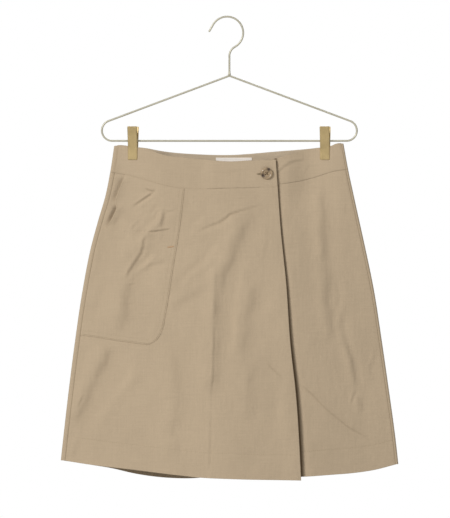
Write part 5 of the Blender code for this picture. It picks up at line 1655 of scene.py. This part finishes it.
@dataclass
class Trim:
    """Stitches, the bartack, the label, the button and its thread."""

    finishes: Wardrobe
    skirt: Skirt
    band: Waistband
    hem_stitch: float = 38.5
    pocket_rows: tuple[float, float] = (1.6, 7.4)
    bartack_x: tuple[float, float] = (-95.4, -86.4)
    bartack_drop: float = 355.7
    label_x: tuple[float, float] = (-21.0, 35.0)
    label_drop: tuple[float, float] = (217.0, 236.0)
    label_inset: float = 2.75
    button_at: tuple[float, float] = BUTTON_AT
    shank: float = 0.8

    def on_front(self, x: Array, drop: Array, out: Array) -> tuple[Array, Array]:
        """A path on the front face and its outward directions, from neighbouring places."""
        path = np.stack([x, FRONT.y(x, drop, out), -drop], axis=-1)
        slope_x = (FRONT.y(x + 1.0, drop, out) - FRONT.y(x - 1.0, drop, out)) / 2
        slope_z = -(FRONT.y(x, drop + 1.0, out) - FRONT.y(x, drop - 1.0, out)) / 2
        return path, np.stack([slope_x, -np.ones(x.shape), slope_z], axis=-1)

    def pocket_outline(self) -> tuple[Array, Array]:
        """The pocket's sewn edge: down its right seam, round the corner, left along the bottom."""
        drop = np.linspace(266.0, 505.0, 420)
        x = POCKET_SEAM(drop)
        along = np.linspace(x[-1] - 1.5, -229.0, 220)
        return np.concatenate([x, along]), np.concatenate([drop, POCKET_BOTTOM(along)])

    def stitch_rows(self) -> None:
        """Hems and the pocket's double row."""
        stitching = Stitching()
        parts = []
        skin = self.skirt
        for distance in self.pocket_rows:
            x, drop = offset_path(*self.pocket_outline(), distance)
            out = skin.pocket_out - skin.wall / 2 + skin.pocket_wall / 2 - 0.2
            parts.append(stitching.row(*self.on_front(x, drop, out + skin.lap_height(x, drop))))
        drop = np.linspace(254.0, 326.0, 160)
        x = POCKET_OPENING(drop) + 2.0
        out = skin.pocket_out + skin.lap_height(x, drop) + skin.pocket_edge_lift(x, drop)
        parts.append(stitching.row(*self.on_front(x, drop, out)))
        x = np.linspace(-252.0, 104.0, 700)
        drop = HEM_OVER(x) - self.hem_stitch
        out = skin.lap_height(x, drop) - skin.hem_dip(x, drop, HEM_OVER)
        parts.append(stitching.row(*self.on_front(x, drop, out)))
        x = np.linspace(112.0, 254.0, 300)
        drop = HEM_UNDER(x) - self.hem_stitch
        out = -skin.hem_dip(x, drop, HEM_UNDER) - skin.under_hollow(x, drop)
        parts.append(stitching.row(*self.on_front(x, drop, out)))
        x = np.linspace(254.0, -254.0, 900)
        drop = HEM_BACK(x) - self.hem_stitch
        y = BACK.y(x, drop, -skin.hem_dip(x, drop, HEM_BACK))
        outward = np.tile([0.0, 1.0, 0.0], (x.size, 1))
        parts.append(stitching.row(np.stack([x, y, -drop], axis=-1), outward))
        points, quads = joined(parts)
        add_piece("stitches", make_mesh("stitches", points, quads), self.finishes.thread, "thread")

    def bartack(self) -> None:
        """A close row of upright orange stitches across the pocket's double row."""
        share = np.linspace(0.0, 1.0, 34)
        x = self.bartack_x[0] + (self.bartack_x[1] - self.bartack_x[0]) * share
        drop = self.bartack_drop - 1.2 * share
        skin = self.skirt
        out = skin.pocket_out + skin.pocket_wall / 2 + 0.05
        upper, outward = self.on_front(x, drop - 1.0, out + skin.lap_height(x, drop))
        lower, _ = self.on_front(x + 0.15, drop + 1.0, out + skin.lap_height(x, drop))
        points, quads = Stitching(radius=0.24, lift=0.2).strands(upper, lower, outward)
        add_piece("bartack", make_mesh("bartack", points, quads), self.finishes.orange_thread,
                  "thread")

    def label(self) -> None:
        """A blank ribbon sewn flat inside the back waistband, its ends turned under."""
        down = Lane.between(8, Edge(Finish.TURNED, 3.0), Edge(Finish.TURNED, 3.0), 0.25)
        across = Lane.between(22, Edge(), Edge())
        sides = tuple(lambda d, x=x: x + 0 * d for x in self.label_x)
        ends = tuple(lambda v, d=d: d + 0 * v for d in self.label_drop)
        x, drop = cross((*sides, *ends), across, down)
        ripple = 0.15 * np.sin(x * 0.35) * np.sin((drop - 217.0) / 19.0 * math.pi)
        out = -self.label_inset + 0.45 * down.layer[:, None] - ripple
        add_sheet("label_ribbon", BACK.points(x, drop, out), x, drop, np.zeros(x.shape),
                  Cloth(self.finishes.ribbon, "label_white", 0.3),
                  Cut(("label",), (0.056, 0.026), ("waistband_rear",)))

    def button_back(self) -> float:
        """Y of the button's back: a shank's length in front of the upper band."""
        x, drop = (np.array([v]) for v in self.button_at)
        out = self.band.lap
        return float(FRONT.y(x, drop, out)[0]) - self.shank

    def button(self) -> None:
        """A turned, dished button whose four holes are wells in its face.

        The face is a polar grid. Its height is a profile of the radius, less a well at each hole.
        """
        radii = np.concatenate([np.linspace(0.0, 6.0, 34), np.linspace(6.2, 8.6, 12),
                                [8.8, 8.95, 9.0, 8.95, 8.7, 8.2, 6.0, 3.0, 0.0]])
        front = np.interp(radii[:46], [0, 4.8, 5.6, 6.3, 6.9, 7.6, 8.2, 8.6],
                          [1.75, 1.85, 2.05, 2.5, 2.78, 2.8, 2.6, 2.3])
        height = np.concatenate([front, [2.05, 1.7, 1.3, 0.8, 0.35, 0.1, 0.0, 0.0, 0.0]])
        turn = np.linspace(0.0, 2 * math.pi, 96, endpoint=False)
        r, a = np.meshgrid(radii, turn, indexing="ij")
        h = np.repeat(height[:, None], turn.size, axis=1)
        x, z = r * np.cos(a), r * np.sin(a)
        faces_front = (np.arange(radii.size) < 40)[:, None]
        for hole in np.radians([45.0, 135.0, 225.0, 315.0]):
            off = np.hypot(x - 2.4 * math.cos(hole), z - 2.4 * math.sin(hole))
            h = h - 1.3 * (1 - ease(0.55, 1.05, off)) * faces_front
        # The dark attribute: two spots, partly the horn's marks and partly painted shade, and a darker
        # ring at 5.4 mm.
        dark = np.zeros(x.shape)
        for cx, cz, reach in ((2.8, 6.3, 3.2), (-6.2, -3.4, 3.5)):
            dark = np.maximum(dark, bell(np.hypot(x - cx, z - cz), reach))
        dark = np.maximum(dark, 0.35 * bell(r - 5.4, 0.8))
        at_x, at_drop = self.button_at
        points = np.stack([x + at_x, self.button_back() - h, z - at_drop], axis=-1)
        quads = grid_faces(*r.shape, close_columns=True)
        mesh = make_mesh("button_horn", points, quads)
        set_attribute(mesh, "dark", np.clip(dark, 0.0, 1.0))
        weld(mesh)
        add_piece("button_horn", mesh, self.finishes.horn, "horn_button", ["button"])

    def button_thread(self) -> None:
        """Two crossed pairs of thread between the holes, and the wound shank behind the button."""
        at_x, at_drop = self.button_at
        face = self.button_back() - 1.75
        parts = []
        for hole in np.radians([45.0, 135.0]):
            for nudge in (-0.25, 0.25):
                t = np.linspace(-1.0, 1.0, 15)
                x = at_x + t * 2.4 * math.cos(hole) - nudge * math.sin(hole)
                z = -at_drop + t * 2.4 * math.sin(hole) + nudge * math.cos(hole)
                y = face - 0.35 + 1.1 * np.abs(t) ** 6
                path = np.stack([x, y, z], axis=-1)
                parts.append(swept(path, np.tile([0.0, -1.0, 0.0], (15, 1)), 0.22, 8))
        t = np.linspace(0.0, 1.0, 90)
        wind = t * 5 * 2 * math.pi
        path = np.stack([at_x + 1.0 * np.cos(wind), self.button_back() + 2.2 * t,
                         -at_drop + 1.0 * np.sin(wind)], axis=-1)
        outward = np.stack([np.cos(wind), 0 * t, np.sin(wind)], axis=-1)
        parts.append(swept(path, outward, 0.26, 8))
        mesh = make_mesh("button_stitches", *joined(parts))
        cap_ends(mesh)
        add_piece("button_stitches", mesh, self.finishes.button_thread, "thread",
                  ["button_thread"])

    def buttonhole(self) -> None:
        """The buttonhole's bound edge: close stitches square to the slot left of the button.

        Both ends of a stitch lie on ovals round the slot: x = middle + a cos^0.35, drop = middle +
        b sin, with b = 0.3 inside and 1.3 outside.
        """
        at_x, at_drop = self.button_at
        turn = np.linspace(0.0, 2 * math.pi, 110, endpoint=False)
        out = self.band.lap + 0.35

        def oval(half: float, rise: float) -> tuple[Array, Array]:
            """One oval laid on the band."""
            away = half * np.sign(np.cos(turn)) * np.abs(np.cos(turn)) ** 0.35
            return self.on_front(at_x + SLOT_MIDDLE[0] + away,
                                 at_drop + SLOT_MIDDLE[1] + rise * np.sin(turn), out)

        near, outward = oval(SLOT_HALF, 0.3)
        far, _ = oval(SLOT_HALF + 0.8, 1.3)
        points, quads = Stitching(radius=0.17).strands(near, far, outward)
        add_piece("buttonhole_edge", make_mesh("buttonhole_edge", points, quads),
                  self.finishes.thread, "thread")

    def build(self) -> None:
        """All trim."""
        self.stitch_rows()
        self.bartack()
        self.label()
        self.button()
        self.button_thread()
        self.buttonhole()


def swept(path: Array, side: Array, radius: float | Array, sides: int,
          closed: bool = False) -> tuple[Array, Array]:
    """A round tube along a path.

    Each ring lies in the plane of the side direction and tangent x side.

    Args:
        path: Points in millimetres.
        side: A direction across the path at each point.
        radius: One radius, or one for each point.
        sides: Points of a ring.
        closed: True if the last point joins the first.

    Returns:
        Points and quads, open at its ends.
    """
    if closed:
        tangent = np.roll(path, -1, axis=0) - np.roll(path, 1, axis=0)
    else:
        tangent = np.gradient(path, axis=0)
    tangent /= np.linalg.norm(tangent, axis=1, keepdims=True)
    normal = side - tangent * np.sum(side * tangent, axis=1, keepdims=True)
    normal /= np.linalg.norm(normal, axis=1, keepdims=True)
    other = np.cross(tangent, normal)
    turn = np.linspace(0.0, 2 * math.pi, sides, endpoint=False)
    size = np.broadcast_to(np.asarray(radius, float), (len(path),))[:, None, None]
    ring = normal[:, None, :] * np.cos(turn)[:, None] + other[:, None, :] * np.sin(turn)[:, None]
    points = path[:, None, :] + ring * size
    index = np.arange(points.shape[0] * sides).reshape(-1, sides)
    if closed:
        index = np.concatenate([index, index[:1]])
    after = np.roll(index, -1, axis=1)
    quads = np.stack([index[:-1], after[:-1], after[1:], index[1:]], axis=-1)
    return points.reshape(-1, 3), quads.reshape(-1, 4)


def weld(mesh: bpy.types.Mesh) -> None:
    """Joins coinciding points and turns every face outwards."""
    work = bmesh.new()
    work.from_mesh(mesh)
    bmesh.ops.remove_doubles(work, verts=work.verts, dist=0.01 * MM)
    bmesh.ops.recalc_face_normals(work, faces=work.faces)
    work.to_mesh(mesh)
    work.free()
    mesh.shade_smooth()


def cap_ends(mesh: bpy.types.Mesh) -> None:
    """Closes every open ring of a tube."""
    work = bmesh.new()
    work.from_mesh(mesh)
    bmesh.ops.holes_fill(work, edges=[e for e in work.edges if e.is_boundary])
    bmesh.ops.recalc_face_normals(work, faces=work.faces)
    work.to_mesh(mesh)
    work.free()
    mesh.shade_smooth()


# ---- hanger -------------------------------------------------------------------------------------
@dataclass
class Hanger:
    """The wire hook and frame."""

    finishes: Wardrobe
    wire: float = 1.5
    hook_radius: float = 25.0
    hook_shift: float = -3.6
    bow_end: float = 150.0          # where the straight tip begins, in degrees
    tip_length: float = 11.5
    return_radius: float = 16.0
    apex_drop: float = 89.9
    half_width: float = 197.6
    bar_drop: float = 190.8
    slope: float = math.atan(68.0 / 181.7)
    apex_radius: float = 5.0
    sides: int = 24

    @staticmethod
    def arc(x: float, drop: float, radius: float, start: float, end: float, count: int) -> Array:
        """Points of an arc in the hanger's plane; degrees run from +X towards +Z."""
        turn = np.radians(np.linspace(start, end, count))
        return np.stack([x + radius * np.cos(turn), 0 * turn, -drop + radius * np.sin(turn)], -1)

    def hook(self) -> None:
        """From the straight tip over the bow and back into the stem, which is brazed to the frame."""
        inner = self.hook_radius - self.wire
        centre = math.sqrt(inner**2 - self.hook_shift**2)
        sideways = self.return_radius - self.hook_shift
        down = math.sqrt((self.hook_radius + self.return_radius) ** 2 - sideways**2)
        meet = -math.degrees(math.atan2(down, sideways))
        bow = self.arc(self.hook_shift, centre, self.hook_radius, self.bow_end, meet, 90)
        turn = math.radians(self.bow_end)
        way = np.array([-math.sin(turn), 0.0, math.cos(turn)])
        straight = bow[0] + self.tip_length * way * np.linspace(1.0, 0.0, 12)[:-1, None]
        bend = self.arc(self.return_radius, centre + down, self.return_radius, 180 + meet, 180, 30)
        foot = self.apex_drop - self.rise() - self.wire
        stem = np.linspace(bend[-1], [0.0, 0.0, -foot], 20)[1:]
        path = np.concatenate([straight, bow, bend[1:], stem])
        first = path[0] - path[1]
        tip = path[0] + first / np.linalg.norm(first) * self.wire * np.array([[0.98], [0.8], [0.45]])
        path = np.concatenate([tip, path])
        radius = np.full(len(path), self.wire)
        radius[:3] *= [0.2, 0.6, 0.89]
        radius[-5:] = self.wire + np.array([0.05, 0.15, 0.35, 0.6, 0.8])
        points, quads = swept(path, np.tile([0.0, 1.0, 0.0], (len(path), 1)), radius, self.sides)
        mesh = make_mesh("hook_wire", points, quads)
        cap_ends(mesh)
        add_piece("hook_wire", mesh, self.finishes.wire_brass, "hanger_wire", ["hanger_hook"])

    def rise(self) -> float:
        """How far the rounded apex lies below the point where the shoulders would meet."""
        return -(self.apex_radius / math.cos(self.slope) - self.apex_radius)

    def frame(self) -> None:
        """The closed wire: rounded apex, shoulders, round ends and the straight bar."""
        rise = self.bar_drop - self.apex_drop
        cos, sin = math.cos(self.slope), math.sin(self.slope)
        radius = (rise * cos - self.half_width * sin) / (1 + cos - sin)
        end = self.half_width - radius
        degrees = math.degrees(self.slope)
        apex = self.arc(0.0, self.apex_drop + self.apex_radius / cos, self.apex_radius,
                        90 - degrees, 90 + degrees, 14)
        left = self.arc(-end, self.bar_drop - radius, radius, 90 + degrees, 270, 60)
        right = self.arc(end, self.bar_drop - radius, radius, -90, 90 - degrees, 60)
        shoulder_left = np.linspace(apex[-1], left[0], 60)[1:-1]
        bar = np.linspace(left[-1], right[0], 90)[1:-1]
        shoulder_right = np.linspace(right[-1], apex[0], 60)[1:-1]
        path = np.concatenate([apex, shoulder_left, left, bar, right, shoulder_right])
        points, quads = swept(path, np.tile([0.0, 1.0, 0.0], (len(path), 1)), self.wire, self.sides,
                              closed=True)
        mesh = make_mesh("frame_wire", points, quads)
        weld(mesh)
        add_piece("frame_wire", mesh, self.finishes.wire_brass, "hanger_wire", ["hanger_frame"])

    def build(self) -> None:
        """Hook and frame."""
        self.hook()
        self.frame()


@dataclass
class Clip:
    """A sprung clip on the bar: two stamped plates with ears round the wire, and a coil."""

    finishes: Wardrobe
    name: str
    grip: Grip
    bar_drop: float = 190.8
    half_width: float = 7.6
    sheet: float = 0.9
    top: float = 22.3
    bottom: float = -29.2
    jaw_top: float = -9.5
    spread: float = 8.9
    jaw: float = 3.55
    ear_top: float = 13.0
    ear_bottom: float = -9.0
    ear_reach: float = 3.6
    coil_radius: float = 2.55
    coil_wire: float = 0.42
    coil_turns: int = 6
    coil_half: float = 3.2

    def placed(self, points: Array) -> Array:
        """Points of the clip's own frame, turned about the vertical and moved onto the bar."""
        turn = math.radians(self.grip.turn)
        x, y, z = points[..., 0], points[..., 1], points[..., 2]
        return np.stack([x * math.cos(turn) - y * math.sin(turn) + self.grip.x,
                         x * math.sin(turn) + y * math.cos(turn), z - self.bar_drop], axis=-1)

    def plate_y(self, z: Array) -> Array:
        """Depth of a plate's middle face: level over the jaw, then a line that leans out, with the
        bend between them eased over six millimetres."""
        lean = (self.spread - self.jaw) / (self.top - self.jaw_top)
        over = np.asarray(z, float) - self.jaw_top
        return self.jaw + lean * (over + np.sqrt(over**2 + 9.0)) / 2

    def plate(self, side: int) -> tuple[Array, Array]:
        """A plate's middle face: a grid with round corners and sides rolled towards the wire.

        Half its width is w - r + sqrt(r^2 - (r - d)^2) within r of either end, d being the distance
        to that end. The roll is a quarter circle at each side.
        """
        z = np.concatenate([self.bottom + np.array([0.05, 0.3, 0.8, 1.5]),
                            np.linspace(self.bottom + 2.5, self.top - 2.5, 44),
                            self.top - np.array([1.5, 0.8, 0.3, 0.05])])
        near = np.minimum(np.minimum(z - self.bottom, self.top - z), 1.6)
        half = self.half_width - self.sheet / 2 - 1.6 + np.sqrt(1.6**2 - (1.6 - near) ** 2)
        turn = np.radians(np.linspace(90.0, 0.0, 6))
        roll_x = np.concatenate([np.sin(turn), np.zeros(9), np.sin(turn[::-1])])
        roll_y = np.concatenate([1 - np.cos(turn), np.zeros(9), 1 - np.cos(turn[::-1])])
        flat = np.concatenate([-np.ones(6), np.linspace(-1, 1, 11)[1:-1], np.ones(6)])
        bend = 0.9
        x = (half[:, None] - bend) * flat + bend * roll_x * np.sign(flat)
        depth = self.plate_y(z)[:, None] - bend * roll_y
        points = np.stack([x, side * depth, np.repeat(z[:, None], x.shape[1], axis=1)], axis=-1)
        quads = grid_faces(*x.shape)
        return points.reshape(-1, 3), quads

    def ear_outline(self, side: int) -> Array:
        """(y, z) round an ear: its root on the plate and half a circle past the wire."""
        turn = np.radians(np.linspace(105.0, 255.0, 16))
        tip = np.stack([self.ear_reach * np.cos(turn), self.ear_reach * np.sin(turn)], axis=-1)
        roots = np.array([[self.plate_y(self.ear_bottom) - 0.2, self.ear_bottom],
                          [self.plate_y(self.ear_top) - 0.2, self.ear_top]])
        outline = np.concatenate([tip, roots])
        outline[:, 0] *= side
        return outline if side > 0 else outline[::-1]

    def ears(self, side: int) -> tuple[list, list]:
        """Both ears of a plate as flat closed prisms."""
        points, faces = [], []
        at = self.half_width - self.sheet if side < 0 else self.half_width - 2.2
        outline = self.ear_outline(side)
        count = len(outline)
        for x in (-at, at):
            base = len(points)
            for edge in (-0.4, 0.4):
                points += [(x + edge, y, z) for y, z in outline]
            faces.append(list(range(base, base + count))[::-1])
            faces.append(list(range(base + count, base + 2 * count)))
            for k in range(count):
                n = (k + 1) % count
                faces.append([base + k, base + n, base + count + n, base + count + k])
        return points, faces

    def plates(self) -> None:
        """The front and the back plate, each with its ears."""
        for side, word in ((-1, "front"), (1, "back")):
            name = f"clip_{self.name}_{word}"
            points, quads = self.plate(side)
            mesh = make_mesh(name, self.placed(points), quads)
            obj = add_piece(f"{name}_plate", mesh, self.finishes.sheet_brass, "brass_sheet", [name])
            add_wall(obj, self.sheet, 0.18)
            points, faces = self.ears(side)
            mesh = make_mesh(f"{name}_ears", self.placed(np.array(points)), faces, smooth=False)
            ears = add_piece(f"{name}_ears", mesh, self.finishes.sheet_brass, "brass_sheet")
            rim = ears.modifiers.new("Rim", "BEVEL")
            rim.width = 0.2 * MM
            rim.segments = 2
            rim.limit_method = "ANGLE"

    def spring(self) -> None:
        """A coil round the bar, with a leg against each plate.

        The coil is a helix about X: y = r cos(turn), z = r sin(turn), x rising with the turn.
        """
        turn = np.linspace(0.0, self.coil_turns * 2 * math.pi + math.pi, 260)
        x = np.linspace(-self.coil_half, self.coil_half, turn.size)
        coil = np.stack([x, self.coil_radius * np.cos(turn), self.coil_radius * np.sin(turn)], -1)
        legs = []
        for side, at in ((1, coil[0]), (-1, coil[-1])):
            reach = side * (float(self.plate_y(9.0)) - 1.0)
            share = np.linspace(0.0, 1.0, 12)[1:, None]
            legs.append(at + share * (np.array([at[0], reach, 9.0]) - at))
        path = np.concatenate([legs[0][::-1], coil, legs[1]])
        side_way = np.tile([1.0, 0.0, 0.0], (len(path), 1))
        points, quads = swept(path, side_way, self.coil_wire, 10)
        mesh = make_mesh(f"clip_{self.name}_coil", self.placed(points), quads)
        cap_ends(mesh)
        add_piece(f"clip_{self.name}_coil", mesh, self.finishes.spring_steel, "spring_steel",
                  [f"clip_{self.name}_spring"])

    def build(self) -> None:
        """Plates and spring."""
        self.plates()
        self.spring()


# ---- stage --------------------------------------------------------------------------------------
@dataclass(frozen=True)
class Lamp:
    """A square soft light aimed at a point of the garment."""

    name: str
    at: tuple[float, float, float]
    size: float
    power: float
    aim: tuple[float, float, float] = (0.0, 0.0, -0.45)


@dataclass
class Studio:
    """Pale floor, white surroundings, soft lights and the camera."""

    floor_z: float = -1.3
    floor_half: float = 3.2
    ambient: float = 0.20
    distance: float = 6.0
    middle: tuple[float, float] = (-0.0068, -0.3739)
    view_height: float = 0.8029
    lamps: tuple[Lamp, ...] = (
        Lamp("key", (-3.7, -4.0, 2.5), 1.44, 250.0),
        Lamp("fill", (1.6, -3.2, 1.6), 2.4, 40.0),
        Lamp("rear", (0.5, 3.0, 1.2), 2.0, 40.0),
    )

    def floor(self) -> None:
        """A square of pale painted floor well below the hanging piece."""
        half = self.floor_half / MM
        z = self.floor_z / MM
        points = np.array([(-half, -half, z), (half, -half, z), (half, half, z), (-half, half, z)])
        obj = bpy.data.objects.new("floor", make_mesh("floor", points, [[0, 1, 2, 3]], False))
        made, kit, shader = start_material("pale_floor")
        cloud = kit.noise(kit.place(), 1.5, 3.0)
        kit.fill(shader, {
            "Base Color": kit.mix(cloud, (0.86, 0.86, 0.85), (0.90, 0.90, 0.89)),
            "Roughness": 0.8})
        obj.data.materials.append(made)
        bpy.context.scene.collection.objects.link(obj)

    def world(self) -> None:
        """White where the camera looks, and a dimmer white as light."""
        world = bpy.data.worlds.new("studio")
        bpy.context.scene.world = world
        world.use_nodes = True
        kit = NodeKit(world.node_tree)
        world.node_tree.nodes.clear()
        seen, light = (
            kit.fill(kit.add("ShaderNodeBackground"), {"Strength": power, "Color": (1.0, 1.0, 1.0)})
            for power in (1.0, self.ambient))
        path = kit.add("ShaderNodeLightPath")
        mix, out = kit.add("ShaderNodeMixShader"), kit.add("ShaderNodeOutputWorld")
        kit.link(path.outputs["Is Camera Ray"], mix.inputs[0])
        kit.link(light.outputs[0], mix.inputs[1])
        kit.link(seen.outputs[0], mix.inputs[2])
        kit.link(mix.outputs[0], out.inputs[0])

    def lights(self) -> None:
        """The lamps, each turned to its aim."""
        for lamp in self.lamps:
            data = bpy.data.lights.new(lamp.name, "AREA")
            data.shape = "SQUARE"
            data.size = lamp.size
            data.energy = lamp.power
            obj = bpy.data.objects.new(lamp.name, data)
            obj.location = lamp.at
            aim = Vector(lamp.aim) - Vector(lamp.at)
            obj.rotation_euler = aim.to_track_quat("-Z", "Y").to_euler()
            bpy.context.scene.collection.objects.link(obj)

    def camera(self) -> None:
        """A long lens, level with the middle of the picture and square to the front."""
        data = bpy.data.cameras.new("camera")
        data.sensor_width = 36.0
        data.lens = data.sensor_width * self.distance / self.view_height
        data.clip_end = 100.0
        obj = bpy.data.objects.new("camera", data)
        obj.location = (self.middle[0], -self.distance, self.middle[1])
        obj.rotation_euler = (math.radians(90), 0.0, 0.0)
        bpy.context.scene.collection.objects.link(obj)
        bpy.context.scene.camera = obj

    def build(self) -> None:
        """Everything round the object."""
        bpy.context.scene.view_settings.view_transform = "Standard"
        self.camera()
        self.floor()
        self.world()
        self.lights()


def main() -> None:
    """Builds every sub-assembly in turn."""
    logging.basicConfig(level=logging.INFO, format="%(message)s")
    finishes = Wardrobe()
    studio = Studio()
    studio.build()
    skirt = Skirt(finishes)
    band = Waistband(finishes)
    Hanger(finishes).build()
    for name, grip in zip(("left", "right"), TUBE.grips):
        Clip(finishes, name, grip).build()
    band.build()
    skirt.build()
    Shorts(finishes).build()
    Trim(finishes, skirt, band).build()


if __name__ == "__main__":
    main()
